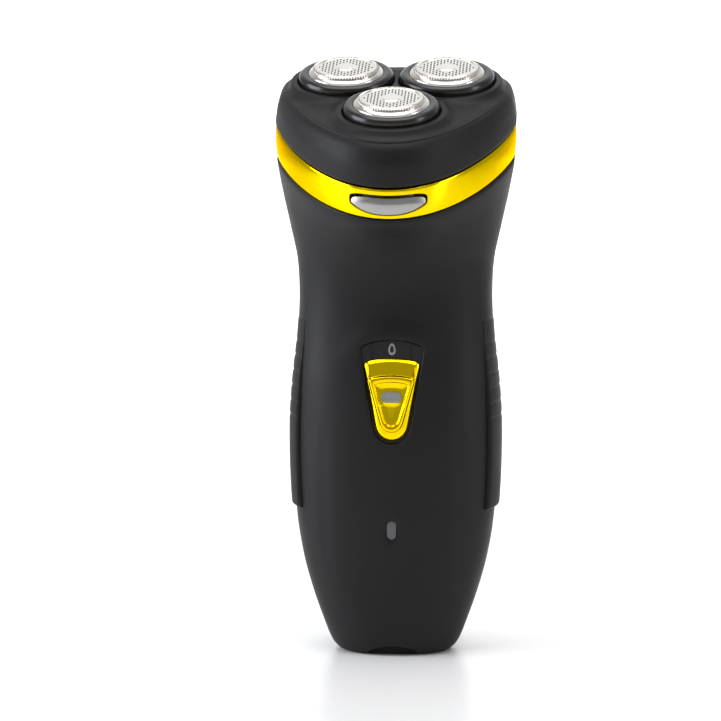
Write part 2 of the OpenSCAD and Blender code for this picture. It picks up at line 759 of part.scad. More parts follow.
module retaining_frame() color([0.25, 0.25, 0.27]) difference() {
    union() {
        in_head() translate([0, 0, -frame_bottom]) linear_extrude(frame_bottom - frame_top) trefoil(9.5);
        for (n = [0:2]) at_cutter(n) disc(5.4, 5.2, frame_bottom);
    }
    for (n = [0:2]) at_cutter(n) disc(4.3, 5, frame_bottom + 1);
    in_head() disc(2.3, 5, frame_bottom + 1);
}

// Quarter-turn knob that holds the retaining frame; its stem turns in the cover's post
module lock_knob() color(gold) in_head() {
    disc(1.25, cover_roof + 0.5, frame_bottom + 0.5);
    disc(5, frame_bottom + 0.2, frame_bottom + 1.4);
    translate([-4.2, -0.8, -frame_bottom - 3]) cube([8.4, 1.6, 1.8]);
}

// ---- Wires ----

// A pair of wires on either side of the middle, through the points of the one on the right
module wire_pair(points) for (s = [-1, 1]) color(s < 0 ? red : gloss_black)
    tube_along(curve([for (p = points) [s * p[0], p[1], p[2]]]), wire_r, [1, 0, 0]);

module motor_leads() wire_pair([[5, 8.2, 106], [6, 8, 102], [8, 3, 96], [9, -6, 92], [9, -9, 88.5]]);
module inlet_leads() wire_pair([[4.3, 0, 17.6], [5, -0.5, 21], [6, -5, 25], [6, -9.6, 29], [6, -9.8, 30.8]]);

front_shell();
rear_shell();
grip_left();
grip_right();
trim_band();
base_cap();
inlet_pins();
switch_track();
switch_slider();
slider_window();
switch_actuator();
slide_switch();
circuit_board();
board_components();
charge_led();
led_lens();
battery_cells();
contact_tabs();
battery_cradle();
motor_can();
motor_end_cap();
motor_magnets();
motor_rotor();
pinion();
gear_left();
gear_right();
gear_front();
gear_axles();
gearbox_base();
chassis_screws();
head_frame();
chamber_floor();
spindle_seals();
spindle_left();
spindle_right();
spindle_front();
spindle_spring_left();
spindle_spring_right();
spindle_spring_front();
hinge_pin();
release_button();
release_spring();
head_cover();
guard_ring_left();
guard_ring_right();
guard_ring_front();
guard_left();
guard_right();
guard_front();
cutter_left();
cutter_right();
cutter_front();
carrier_left();
carrier_right();
carrier_front();
retaining_frame();
lock_knob();
case_screws();
motor_leads();
inlet_leads();
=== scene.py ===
"""Looks of the three-head rotary shaver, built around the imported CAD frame.

Shapes are worked out in millimetres in the CAD frame and stored in metres:
+Z runs up the handle, -Y points out of the front with the switch, +X to the front viewer's right.
"""

import json
import math

import bmesh
import bpy
import numpy as np
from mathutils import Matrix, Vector
from mathutils.geometry import delaunay_2d_cdt

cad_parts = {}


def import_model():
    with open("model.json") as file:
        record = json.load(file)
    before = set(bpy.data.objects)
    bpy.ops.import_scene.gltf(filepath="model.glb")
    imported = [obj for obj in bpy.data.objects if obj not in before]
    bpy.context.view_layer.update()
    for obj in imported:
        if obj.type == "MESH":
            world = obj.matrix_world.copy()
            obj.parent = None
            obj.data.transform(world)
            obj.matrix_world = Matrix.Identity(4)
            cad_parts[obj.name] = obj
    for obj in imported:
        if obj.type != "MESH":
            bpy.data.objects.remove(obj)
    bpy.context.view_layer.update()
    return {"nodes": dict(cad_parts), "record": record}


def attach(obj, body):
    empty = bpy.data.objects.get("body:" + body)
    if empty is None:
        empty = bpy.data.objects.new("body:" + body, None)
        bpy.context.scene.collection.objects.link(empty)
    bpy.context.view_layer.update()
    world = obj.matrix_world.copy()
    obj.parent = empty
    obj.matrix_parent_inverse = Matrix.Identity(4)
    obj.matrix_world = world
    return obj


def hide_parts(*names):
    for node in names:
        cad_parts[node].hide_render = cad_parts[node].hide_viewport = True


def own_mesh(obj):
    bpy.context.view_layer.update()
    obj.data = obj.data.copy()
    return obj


MM = 0.001
SIDES = {"left": 150, "right": 30, "front": -90}

# Body stations as in the CAD source: height, half width, front, back, tilt of the section
STATIONS = np.array([
    [0.3, 15.4, -12.0, 12.4, 0],
    [3, 17.3, -13.2, 13.8, 0],
    [8, 19.3, -14.6, 15.4, 0],
    [16, 22.1, -16.2, 17.2, 0],
    [26, 24.8, -17.8, 19.0, 0],
    [38, 26.6, -19.3, 20.2, 0],
    [56, 27.4, -20.5, 21.0, 0],
    [74, 27.0, -20.0, 20.4, 0],
    [86, 26.2, -18.9, 19.3, 0],
    [97, 25.8, -18.8, 18.7, 1.6],
    [106, 26.3, -20.6, 18.6, 7.2],
    [115, 28.1, -24.2, 18.8, 14.4],
    [125, 30.2, -28.9, 19.3, 21.4],
    [134, 31.7, -34.2, 19.8, 24],
    [142.2, 32.0, -37.0, 20.0, 22],
    [146.5, 31.5, -38.6, 19.9, 19.5],
    [148.5, 31.0, -38.4, 19.3, 18.4],
    [150, 30.3, -37.7, 18.2, 17.4],
    [150.7, 28.9, -36.2, 16.4, 17],
])
NECK_H = 95
SHELL_TOP = 133.9
BAND_LOW = 134.25
BAND_HIGH = 141.85
COVER_LOW = 142.3

HEAD_CENTRE = np.array([0, -7, 154.3])
HEAD_TILT = math.radians(17)
HEAD_Q = np.array([0, math.cos(HEAD_TILT), math.sin(HEAD_TILT)])
HEAD_N = np.array([0, -math.sin(HEAD_TILT), math.cos(HEAD_TILT)])
PITCH = 15.5
PLATEAU_DEPTH = 3.6
ROOF_DEPTH = 5.7
HOLE_R = 12.9

SWITCH_CENTRE = np.array([0, -20.1, 58.3])
SWITCH_TILT = math.radians(3)
SWITCH_UP = np.array([0, math.sin(SWITCH_TILT), math.cos(SWITCH_TILT)])
SWITCH_OUT = np.array([0, -math.cos(SWITCH_TILT), math.sin(SWITCH_TILT)])
LED_H = 35.2

# The plane in which the head parts from the band, with the release button's and the hinge's parts
RIGHT = np.array([1, 0, 0])
PARTING_CENTRE = np.array([0, 0, 142.2])
PARTING_TILT = math.radians(22)
PARTING_BACK = np.array([0, math.cos(PARTING_TILT), math.sin(PARTING_TILT)])
PARTING_UP = np.array([0, -math.sin(PARTING_TILT), math.cos(PARTING_TILT)])
BUTTON_WALL = 2.4
SPINDLE_SPRING_FOOT = 17.36


# ---------------------------------------------------------------- body surface

def smooth(a, b, v):
    t = np.clip((v - a) / (b - a), 0, 1)
    return t * t * (3 - 2 * t)


def section(h):
    """Half width, front, back and tilt at heights h, through a cubic between the stations."""
    heights = STATIONS[:, 0]
    last = len(STATIONS) - 1
    before = np.maximum(np.arange(last + 1) - 1, 0)
    after = np.minimum(np.arange(last + 1) + 1, last)
    slopes = (STATIONS[after] - STATIONS[before]) / (heights[after] - heights[before])[:, None]
    i = np.clip(np.searchsorted(heights, h) - 1, 0, last - 1)
    d = (heights[i + 1] - heights[i])[:, None]
    u = (np.asarray(h)[:, None] - heights[i][:, None]) / d
    values = (
        STATIONS[i] * (2 * u**3 - 3 * u**2 + 1)
        + slopes[i] * d * (u**3 - 2 * u**2 + u)
        + STATIONS[i + 1] * (3 * u**2 - 2 * u**3)
        + slopes[i + 1] * d * (u**3 - u**2)
    )
    return values[:, 1], values[:, 2], values[:, 3], values[:, 4]


def body_point(h, a, off=0.0):
    """Points of the body at heights h and angles a in degrees, moved out of the surface by off."""
    h, a, off = np.broadcast_arrays(np.asarray(h, float), np.asarray(a, float), np.asarray(off, float))
    shape = h.shape
    h, a, off = h.ravel(), np.radians(a.ravel()), off.ravel()
    width, front, back, tilt = section(h)
    blend = smooth(NECK_H, 134, h)
    middle = -2 * blend
    s = np.sin(a)
    front_y = middle - (middle - front + off) * np.maximum(-s, 0) ** (0.85 + 0.69 * blend)
    back_y = middle + (back + off - middle) * np.maximum(s, 0) ** (0.8 - 0.3 * blend)
    y = np.where(s < 0, front_y, back_y)
    points = np.stack([(width + off) * np.cos(a), y, h + y * np.tan(np.radians(tilt))], axis=-1)
    return points.reshape(shape + (3,))


def front_angle(x, h):
    """The angle round the body of a point of the front face at x and height h."""
    width = section(np.asarray(h, float))[0]
    return 360 - np.degrees(np.arccos(np.clip(x / width, -1, 1)))


def back_angle(x, h):
    return 360 - front_angle(x, h)


def on_front(outline, off):
    """An outline in x and height laid on the front of the body, moved out of it by off."""
    return body_point(outline[:, 1], front_angle(outline[:, 0], outline[:, 1]), off)


def on_back(outline, off):
    return body_point(outline[:, 1], back_angle(outline[:, 0], outline[:, 1]), off)


def upright(outline, y):
    """An outline in x and height standing at y."""
    return np.stack([outline[:, 0], np.full(len(outline), y), outline[:, 1]], axis=1)


# ---------------------------------------------------------------- outlines

def ring_of(points, count):
    """A closed outline resampled to count points at equal steps, starting at its lowest point."""
    points = np.asarray(points, float)
    closed = np.vstack([points, points[:1]])
    steps = np.linalg.norm(np.diff(closed, axis=0), axis=1)
    along = np.concatenate([[0], np.cumsum(steps)])
    at = np.arange(count) * along[-1] / count
    dense = np.stack([np.interp(at, along, closed[:, k]) for k in range(2)], axis=1)
    start = np.lexsort((np.abs(dense[:, 0]), np.round(dense[:, 1], 2)))[0]
    return np.roll(dense, -start, axis=0)


def soften(outline, passes):
    """Rounds the corners of a closed outline."""
    for _ in range(passes):
        outline = (np.roll(outline, 1, axis=0) + 2 * outline + np.roll(outline, -1, axis=0)) / 4
    return outline


def grow(outline, t):
    """A counter-clockwise outline moved outwards by t."""
    along = np.roll(outline, -1, axis=0) - np.roll(outline, 1, axis=0)
    normal = np.stack([along[:, 1], -along[:, 0]], axis=1)
    return outline + t * normal / np.linalg.norm(normal, axis=1)[:, None]


def shield(half_w, bottom_r, height, crown, count=120, passes=6):
    """Round at the bottom, straight sides that widen upwards, and a crowned top."""
    reach = np.array([half_w, height - crown - bottom_r])
    lean = math.asin(bottom_r / np.linalg.norm(reach)) - math.atan2(reach[0], reach[1])
    low = np.linspace(-math.pi - lean, lean, 40)
    bottom = np.stack([bottom_r * np.cos(low), bottom_r + bottom_r * np.sin(low)], axis=1)
    crown_r = (half_w**2 + crown**2) / (2 * crown)
    spread = math.asin(half_w / crown_r)
    high = np.linspace(math.pi / 2 - spread, math.pi / 2 + spread, 30)
    top = np.stack([crown_r * np.cos(high), height - crown_r + crown_r * np.sin(high)], axis=1)
    return soften(ring_of(np.vstack([bottom, top]), count), passes)


def stadium(half_w, half_h, count=48):
    """Upright slot with round ends."""
    a = np.linspace(0, math.pi, 20)
    end = np.stack([half_w * np.cos(a), half_w * np.sin(a) + half_h - half_w], axis=1)
    return ring_of(np.vstack([end, -end]), count)


def turn_steps(count):
    """The angles of count equal steps round a circle."""
    return np.arange(count) * 2 * math.pi / count


def unit_circle(count):
    a = turn_steps(count)
    return np.stack([np.cos(a), np.sin(a)], axis=1)


def circle(r, count, centre=(0, 0)):
    a = turn_steps(count) - math.pi / 2
    return np.stack([r * np.cos(a) + centre[0], r * np.sin(a) + centre[1]], axis=1)


def crossings(points, loop):
    """How often a ray to the right of each point crosses the closed loop."""
    x, y = points[:, 0:1], points[:, 1:2]
    a, b = loop, np.roll(loop, -1, axis=0)
    spans = (a[:, 1] > y) != (b[:, 1] > y)
    rise = np.where(b[:, 1] == a[:, 1], 1, b[:, 1] - a[:, 1])
    reach = a[:, 0] + (y - a[:, 1]) * (b[:, 0] - a[:, 0]) / rise
    return np.sum(spans & (x < reach), axis=1)


def inside(points, loops):
    return sum(crossings(points, loop) for loop in loops) % 2 == 1


# ---------------------------------------------------------------- meshes

class Skin:
    """Points in millimetres and the faces between them."""

    def __init__(self):
        self.points = []
        self.faces = []
        # Faces that take dark paint as the shade inside openings
        self.painted_shade_faces = []

    def add(self, points):
        start = len(self.points)
        points = np.asarray(points, float).reshape(-1, 3)
        self.points.extend(points)
        return np.arange(start, start + len(points))

    def strip(self, a, b, closed=True):
        """Quads between two loops of the same length."""
        count = len(a) if closed else len(a) - 1
        for i in range(count):
            j = (i + 1) % len(a)
            self.faces.append((a[i], a[j], b[j], b[i]))

    def loft(self, rows, closed=True):
        """Quads through a list of loops of points; gives back the index loops."""
        loops = [self.add(row) for row in rows]
        for a, b in zip(loops, loops[1:]):
            self.strip(a, b, closed)
        return loops

    def cap(self, loop):
        self.faces.append(tuple(loop))

    def fill(self, loops, flats, lift, spacing):
        """Triangles inside the first loop and outside the others; lift turns flat points into space."""
        ids = np.concatenate(loops)
        flat = np.concatenate(flats)
        edges, start = [], 0
        for loop in loops:
            edges += [(start + i, start + (i + 1) % len(loop)) for i in range(len(loop))]
            start += len(loop)
        grid = self.hex_grid(flats, spacing)
        every = np.vstack([flat, grid])
        out, _, triangles, origin, _, _ = delaunay_2d_cdt([Vector(p) for p in every], edges, [], 0, 1e-6)
        extra = self.add(lift(grid)) if len(grid) else np.empty(0, int)
        known = np.concatenate([ids, extra])
        index = [known[o[0]] if o else None for o in origin]
        place = np.array([tuple(p) for p in out])
        corners = np.array([t for t in triangles if all(index[k] is not None for k in t)])
        kept = inside(place[corners].mean(axis=1), flats)
        for t in corners[kept]:
            self.faces.append(tuple(index[k] for k in t))

    @staticmethod
    def hex_grid(flats, spacing):
        low, high = flats[0].min(axis=0), flats[0].max(axis=0)
        rise = spacing * math.sqrt(3) / 2
        rows = []
        for j, y in enumerate(np.arange(low[1] + rise / 2, high[1], rise)):
            x = np.arange(low[0] + spacing / 2 + (j % 2) * spacing / 2, high[0], spacing)
            rows.append(np.stack([x, np.full_like(x, y)], axis=1))
        grid = np.vstack(rows) if rows else np.empty((0, 2))
        grid = grid[inside(grid, flats)]
        edge = np.concatenate(flats)
        clear = [np.min(np.linalg.norm(edge - p, axis=1)) > 0.55 * spacing for p in grid]
        return grid[np.array(clear, bool)] if len(grid) else grid

    def piece(self, name, material, body, slot=None, replaces=(), sharp=35, shade_material=None):
        """The finished object, riding on a CAD body; the faces listed as painted shade take the shade
        material, dark paint standing in for the shade inside openings.
        """
        mesh = bpy.data.meshes.new(name)
        faces = [tuple(int(i) for i in f) for f in self.faces]
        mesh.from_pydata([tuple(p * MM) for p in self.points], [], faces)
        mesh.materials.append(material)
        # The extra material paints shade onto the listed faces
        if shade_material:
            mesh.materials.append(shade_material)
            for i in self.painted_shade_faces:
                mesh.polygons[i].material_index = 1
        work = bmesh.new()
        work.from_mesh(mesh)
        bmesh.ops.remove_doubles(work, verts=work.verts, dist=1e-7)
        bmesh.ops.recalc_face_normals(work, faces=work.faces)
        work.to_mesh(mesh)
        work.free()
        mesh.polygons.foreach_set("use_smooth", [True] * len(mesh.polygons))
        mesh.set_sharp_from_angle(angle=math.radians(sharp))
        piece = bpy.data.objects.new(name, mesh)
        bpy.context.scene.collection.objects.link(piece)
        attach(piece, body)
        if replaces:
            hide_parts(*replaces)
        return piece


def framed(origin, axes, x, y, z):
    """Points at x, y and z along the three axes of a local frame."""
    x, y, z = np.broadcast_arrays(np.asarray(x, float), np.asarray(y, float), np.asarray(z, float))
    return origin + x[..., None] * axes[0] + y[..., None] * axes[1] + z[..., None] * axes[2]


def head_point(p, q, depth):
    """A point at p to the right and q to the back of the head's axis, at a depth below the guard tops."""
    return framed(HEAD_CENTRE, (RIGHT, HEAD_Q, -HEAD_N), p, q, depth)


def head_local(points):
    """The p, q and depth of points in space."""
    d = points - HEAD_CENTRE
    return d[..., 0], d @ HEAD_Q, -(d @ HEAD_N)


def cutter_centre(side):
    a = math.radians(SIDES[side])
    return PITCH * math.cos(a), PITCH * math.sin(a)


def switch_point(x, y, z):
    """A point at x to the right, y up the switch recess and z out of it."""
    return framed(SWITCH_CENTRE, (RIGHT, SWITCH_UP, SWITCH_OUT), x, y, z)


def parting_point(x, y, z):
    """A point at x to the right, y to the back and z above the parting plane."""
    return framed(PARTING_CENTRE, (RIGHT, PARTING_BACK, PARTING_UP), x, y, z)


def spun(profile, centre, count):
    """Loops round a cutter axis through a profile of radius and depth."""
    return [head_point(*(centre + r * unit_circle(count)).T, depth) for r, depth in profile]


# ---------------------------------------------------------------- materials

def principled(name, colour, roughness, metallic=0.0, specular=0.5):
    m = bpy.data.materials.new(name)
    m.use_nodes = True
    shader = m.node_tree.nodes["Principled BSDF"]
    shader.inputs["Base Color"].default_value = (*colour, 1)
    shader.inputs["Roughness"].default_value = roughness
    shader.inputs["Metallic"].default_value = metallic
    shader.inputs["Specular IOR Level"].default_value = specular
    return m


def noise(m, scale, detail=3.0, stretch=(1, 1, 1)):
    """Noise in the object's own space; scale counts features to a metre."""
    nodes, links = m.node_tree.nodes, m.node_tree.links
    place = nodes.new("ShaderNodeTexCoord")
    mapping = nodes.new("ShaderNodeMapping")
    mapping.inputs["Scale"].default_value = stretch
    texture = nodes.new("ShaderNodeTexNoise")
    texture.inputs["Scale"].default_value = scale
    texture.inputs["Detail"].default_value = detail
    links.new(place.outputs["Object"], mapping.inputs["Vector"])
    links.new(mapping.outputs["Vector"], texture.inputs["Vector"])
    return texture


def bumped(m, texture, strength, distance):
    nodes, links = m.node_tree.nodes, m.node_tree.links
    bump = nodes.new("ShaderNodeBump")
    bump.inputs["Strength"].default_value = strength
    bump.inputs["Distance"].default_value = distance
    links.new(texture.outputs["Fac"], bump.inputs["Height"])
    links.new(bump.outputs["Normal"], nodes["Principled BSDF"].inputs["Normal"])


def varied(m, texture, socket, low, high):
    """Drives a shader input between two values by the noise."""
    nodes, links = m.node_tree.nodes, m.node_tree.links
    spread = nodes.new("ShaderNodeMapRange")
    spread.inputs["From Min"].default_value = 0.3
    spread.inputs["From Max"].default_value = 0.7
    spread.inputs["To Min"].default_value = low
    spread.inputs["To Max"].default_value = high
    links.new(texture.outputs["Fac"], spread.inputs["Value"])
    links.new(spread.outputs["Result"], nodes["Principled BSDF"].inputs[socket])


def tinted(m, texture, dark, light):
    """Varies the colour between two shades by the noise."""
    nodes, links = m.node_tree.nodes, m.node_tree.links
    ramp = nodes.new("ShaderNodeValToRGB")
    ramp.color_ramp.elements[0].position = 0.35
    ramp.color_ramp.elements[1].position = 0.65
    ramp.color_ramp.elements[0].color = (*dark, 1)
    ramp.color_ramp.elements[1].color = (*light, 1)
    links.new(texture.outputs["Fac"], ramp.inputs["Fac"])
    links.new(ramp.outputs["Color"], nodes["Principled BSDF"].inputs["Base Color"])


def coated(m, weight, roughness):
    shader = m.node_tree.nodes["Principled BSDF"]
    shader.inputs["Coat Weight"].default_value = weight
    shader.inputs["Coat Roughness"].default_value = roughness


def soft_touch(name, shade, roughness):
    """Soft-touch paint: dark, with a fine even grain."""
    m = principled(name, (shade, shade, shade * 1.06), roughness, specular=0.22)
    grain = noise(m, 5200, 2.0)
    bumped(m, grain, 0.12, 0.00004)
    patches = noise(m, 60, 2.0)
    varied(m, patches, "Roughness", roughness - 0.04, roughness + 0.05)
    tinted(m, patches, (shade * 0.92, shade * 0.92, shade * 0.99), (shade * 1.08, shade * 1.08, shade * 1.15))
    return m


def plated(name, colour, roughness):
    """Metal plating with faint ripples, as over moulded plastic, its colour kept at glancing angles."""
    m = principled(name, colour, roughness, metallic=1.0)
    m.node_tree.nodes["Principled BSDF"].inputs["Specular Tint"].default_value = (1, 0.6, 0.05, 1)
    bumped(m, noise(m, 160, 1.0), 0.08, 0.0002)
    varied(m, noise(m, 900, 3.0), "Roughness", roughness * 0.8, roughness * 1.3)
    return m


def brushed(name, colour, roughness, stretch):
    """Rolled or brushed metal with a fine grain in one direction."""
    m = principled(name, colour, roughness, metallic=1.0)
    bumped(m, noise(m, 2600, 3.0, stretch), 0.15, 0.00003)
    varied(m, noise(m, 700, 3.0, stretch), "Roughness", roughness * 0.75, roughness * 1.3)
    return m


def moulded(name, colour, roughness, specular=0.5):
    """Moulded plastic with a slight texture and colour variation."""
    m = principled(name, colour, roughness, specular=specular)
    bumped(m, noise(m, 2200, 2.0), 0.08, 0.00004)
    shade = np.array(colour)
    tinted(m, noise(m, 120, 2.0), tuple(shade * 0.93), tuple(np.minimum(shade * 1.07, 1)))
    return m


def make_materials():
    made = {
        "shell_black": soft_touch("soft_touch_black", 0.008, 0.48),
        "grip_black": soft_touch("grip_rubber", 0.009, 0.55),
        "gloss_black": moulded("gloss_black_plastic", (0.008, 0.008, 0.009), 0.22),
        "gold_chrome": plated("gold_plating", (1.0, 0.72, 0.003), 0.12),
        "steel": brushed("nickel_steel", (0.82, 0.79, 0.75), 0.2, (1, 0.15, 1)),
        "satin_silver": brushed("satin_silver", (0.4, 0.4, 0.39), 0.33, (0.1, 1, 1)),
        "nylon_white": moulded("nylon_white", (0.78, 0.76, 0.70), 0.4),
        "abs_grey": moulded("abs_grey", (0.12, 0.12, 0.13), 0.42),
        "spring_steel": brushed("spring_steel", (0.55, 0.55, 0.56), 0.25, (1, 1, 0.2)),
        "brass": brushed("brass_machined", (0.78, 0.55, 0.2), 0.24, (1, 1, 0.2)),
        "board_green": moulded("solder_mask", (0.02, 0.16, 0.06), 0.25),
        "cell_wrap": moulded("cell_sleeve", (0.05, 0.2, 0.1), 0.3),
        "magnet": moulded("ferrite", (0.05, 0.05, 0.055), 0.5),
        "copper_winding": brushed("copper_winding", (0.7, 0.28, 0.12), 0.35, (1, 1, 4)),
        "seal_rubber": moulded("seal_rubber", (0.03, 0.03, 0.03), 0.6),
        "wire_sleeve": moulded("wire_sleeve", (0.4, 0.02, 0.02), 0.35),
        "led_body": moulded("led_epoxy", (0.5, 0.04, 0.03), 0.15),
    }
    lens = principled("clear_lens", (0.10, 0.10, 0.11), 0.06)
    lens.node_tree.nodes["Principled BSDF"].inputs["Transmission Weight"].default_value = 0.55
    bumped(lens, noise(lens, 300, 1.0), 0.05, 0.0001)
    coated(lens, 1.0, 0.03)
    made["clear_lens"] = lens
    return made


# ---------------------------------------------------------------- handle shells

FLAT_SCALE = 0.47
LIP_R = 0.55
SHELL_WALL = 1.9


def recess_outline(count=150):
    """The opening for the switch, as x and height on the front."""
    outline = shield(8.6, 5.2, 27.8, 2.1, count, 8)
    return np.stack([outline[:, 0], SWITCH_CENTRE[2] + outline[:, 1] * math.cos(SWITCH_TILT)], axis=1)


def front_relief(x, h):
    """How far the front stands out of the plain body: the thumb stop, the creases and the light's dimple."""
    stop_x, stop_h = x / 11.5, (h - 87.6 + 0.03 * x * x) / 3.0
    stop = 0.55 * np.exp(-(stop_x**4)) * np.exp(-(stop_h**2))
    crease_x = 18.5 - 0.05 * np.abs(h - 46)
    crease_range = smooth(20, 30, h) * (1 - smooth(56, 68, h))
    crease = -0.12 * np.exp(-(((np.abs(x) - crease_x) / 1.6) ** 2)) * crease_range
    across = np.sqrt((x / 2.7) ** 2 + ((h - LED_H) / 4.2) ** 2)
    dimple = -0.75 * (1 - smooth(0.35, 1.05, across))
    return stop + crease + dimple


def front_surface(x, h, off=0.0):
    """Points of the front face at x and height h; off is added to its relief."""
    return body_point(h, front_angle(x, h), front_relief(x, h) + off)


def flat_of(x, h):
    return np.stack([(front_angle(x, h) - 270) * FLAT_SCALE, h], axis=1)


def lip_rings(r, count=6):
    """Distance outside an opening and depth below the surface, from the rounded lip's outside inwards."""
    a = np.radians(np.linspace(90, 0, count))
    return [(r * (1 - math.cos(t)), r * (1 - math.sin(t))) for t in a]


def scoop_height(x):
    """The lower edge of the front, with the crescent cut into it at the charging inlet."""
    return np.maximum(0.3, -10 + np.sqrt(np.maximum(12.8**2 - x**2, 0)))


def shell_border(start, end, scooped):
    """The edge of half a shell as angles and heights, counter-clockwise in the flat."""
    angles = np.linspace(start, end, 91)
    x = 15.6 * np.cos(np.radians(angles))
    low = scoop_height(x) if scooped else np.full_like(x, 0.3)
    side = np.concatenate([[1.2, 2.2, 3.2], np.linspace(4.4, SHELL_TOP - 0.8, 120), [SHELL_TOP - 0.3]])
    top = np.linspace(end, start, 91)
    border = [np.stack([angles, low], axis=1)]
    border.append(np.stack([np.full_like(side, end), side], axis=1))
    border.append(np.stack([top, np.full_like(top, SHELL_TOP)], axis=1))
    border.append(np.stack([np.full_like(side, start), side[::-1]], axis=1))
    return np.vstack(border)


def rolled(h):
    """Rounds the shell in at its top and bottom edges."""
    top = 0.35 * np.clip(1 - (SHELL_TOP - h) / 0.7, 0, 1) ** 2
    bottom = 0.5 * np.clip(1 - (h - 0.3) / 1.6, 0, 1) ** 2
    return -(top + bottom)


def make_front_shell(materials):
    skin = Skin()
    border = shell_border(180, 360, True)
    outer = skin.add(body_point(border[:, 1], border[:, 0], rolled(border[:, 1])))
    inner = skin.add(body_point(border[:, 1], border[:, 0], -SHELL_WALL))
    skin.strip(outer, inner)
    flat_border = np.stack([(border[:, 0] - 270) * FLAT_SCALE, border[:, 1]], axis=1)

    openings = [recess_outline(), stadium(1.25, 2.45) + [0, LED_H]]
    lips = [LIP_R, 0.12]
    outer_loops, outer_flats, inner_loops, inner_flats = [outer], [flat_border], [inner], [flat_border]
    for outline, lip in zip(openings, lips):
        rows = []
        for t, depth in lip_rings(lip):
            at = grow(outline, t)
            rows.append(front_surface(at[:, 0], at[:, 1], -depth))
        rows.append(on_front(outline, -SHELL_WALL))
        loops = skin.loft(rows)
        edge = grow(outline, lip)
        outer_loops.append(loops[0])
        outer_flats.append(flat_of(edge[:, 0], edge[:, 1]))
        inner_loops.append(loops[-1])
        inner_flats.append(flat_of(outline[:, 0], outline[:, 1]))

    def lift(flat):
        angles = flat[:, 0] / FLAT_SCALE + 270
        x = section(flat[:, 1])[0] * np.cos(np.radians(angles))
        return body_point(flat[:, 1], angles, front_relief(x, flat[:, 1]) + rolled(flat[:, 1]))

    def lift_inner(flat):
        return body_point(flat[:, 1], flat[:, 0] / FLAT_SCALE + 270, -SHELL_WALL)

    skin.fill(outer_loops, outer_flats, lift, 0.75)
    skin.fill(inner_loops, inner_flats, lift_inner, 2.5)
    skin.piece("shell_front", materials["shell_black"], "handle", "shell_black", ["front_shell"])


def make_rear_shell(materials):
    skin = Skin()
    border = shell_border(0, 180, False)
    outer = skin.add(body_point(border[:, 1], border[:, 0], rolled(border[:, 1])))
    inner = skin.add(body_point(border[:, 1], border[:, 0], -SHELL_WALL))
    skin.strip(outer, inner)
    flat_border = np.stack([(border[:, 0] - 90) * FLAT_SCALE, border[:, 1]], axis=1)
    outer_loops, outer_flats, inner_loops, inner_flats = [outer], [flat_border], [inner], [flat_border]

    def flat_back(outline):
        return np.stack([(back_angle(outline[:, 0], outline[:, 1]) - 90) * FLAT_SCALE, outline[:, 1]], axis=1)

    hole_lip, seat_y, foot_y = 0.35, 5.0, 0.5
    for h in (21, 95):
        hole, bore, post = [circle(r, 40, (0, h)) for r in (2.6, 1.3, 3.4)]
        rows = [on_back(grow(hole, t), -depth) for t, depth in lip_rings(hole_lip, 5)]
        rows += [upright(hole, seat_y), upright(bore, seat_y), upright(bore, foot_y), upright(post, foot_y)]
        rows.append(on_back(post, -SHELL_WALL))
        loops = skin.loft(rows)
        outer_loops.append(loops[0])
        outer_flats.append(flat_back(grow(hole, hole_lip)))
        inner_loops.append(loops[-1])
        inner_flats.append(flat_back(post))

    def lift(flat):
        return body_point(flat[:, 1], flat[:, 0] / FLAT_SCALE + 90, rolled(flat[:, 1]))

    def lift_inner(flat):
        return body_point(flat[:, 1], flat[:, 0] / FLAT_SCALE + 90, -SHELL_WALL)

    skin.fill(outer_loops, outer_flats, lift, 1.1)
    skin.fill(inner_loops, inner_flats, lift_inner, 2.5)
    skin.piece("shell_rear", materials["shell_black"], "handle", "shell_black", ["rear_shell"])


def make_grip(side, middle, materials):
    """A soft pad over one side, with shallow grooves across its upper part."""
    skin = Skin()
    heights = np.concatenate([[39.5, 39.56, 39.7, 39.95, 40.3], np.linspace(40.9, 89.2, 120),
                              [89.6, 89.85, 90]])
    spread = np.concatenate([[-25, -24.9, -24.6, -24.1, -23.4], np.linspace(-22.4, 22.4, 30),
                             [23.4, 24.1, 24.6, 24.9, 25]])
    h, a = np.meshgrid(heights, middle + spread, indexing="ij")
    rise = 0.1 + 1.0 * (1 - smooth(62, 92, h))
    edge_mm = np.minimum((25 - np.abs(a - middle)) * 0.45, np.minimum(h - 39.5, 90 - h))
    corner = np.clip(edge_mm / 0.8, 0, 1)
    rounding = np.sqrt(np.maximum(1 - (1 - corner) ** 2, 0))
    grooves = sum(np.exp(-(((h - g) / 0.45) ** 2)) for g in (64, 68, 72, 76, 80, 84))
    off = 0.03 + rise * rounding - 0.22 * grooves * corner * smooth(0, 0.4, rise)
    outer = body_point(h, a, np.maximum(off, 0.03))
    under = body_point(h, a, -0.25)
    rows, backs = skin.loft(outer, closed=False), skin.loft(under, closed=False)
    around = [np.concatenate([r[0], [x[-1] for x in r[1:]], r[-1][-2::-1], [x[0] for x in r[-2:0:-1]]])
              for r in (rows, backs)]
    skin.strip(around[0], around[1])
    skin.piece(f"grip_pad_{side}", materials["grip_black"], "handle", "grip_black", [f"grip_{side}"])


# ---------------------------------------------------------------- trim band and release button

BUTTON_HALF = 9.9
BAND_LIP = 0.5
BAND_WALL = 1.4
NOTCH_H = 138.6
NOTCH_ANGLE = 27.2


def button_top(x):
    """Height of the button's upper edge, from -1 to 1 across it."""
    return 139.7 - 0.8 * np.abs(x) ** 6


def button_outline(side=0.0, above=0.0, below=0.0, count=120):
    """The release button as x and body height, flat above and curved below, or the opening round it."""
    x = np.linspace(-1, 1, 61)
    top = button_top(x) + above
    bottom = 135.8 - below + 2.2 * np.abs(x) ** 2.6
    outline = np.concatenate([np.stack([(BUTTON_HALF + side) * x, bottom], axis=1),
                              np.stack([(BUTTON_HALF + side) * x, top], axis=1)[::-1]])
    return soften(ring_of(outline, count), 3)


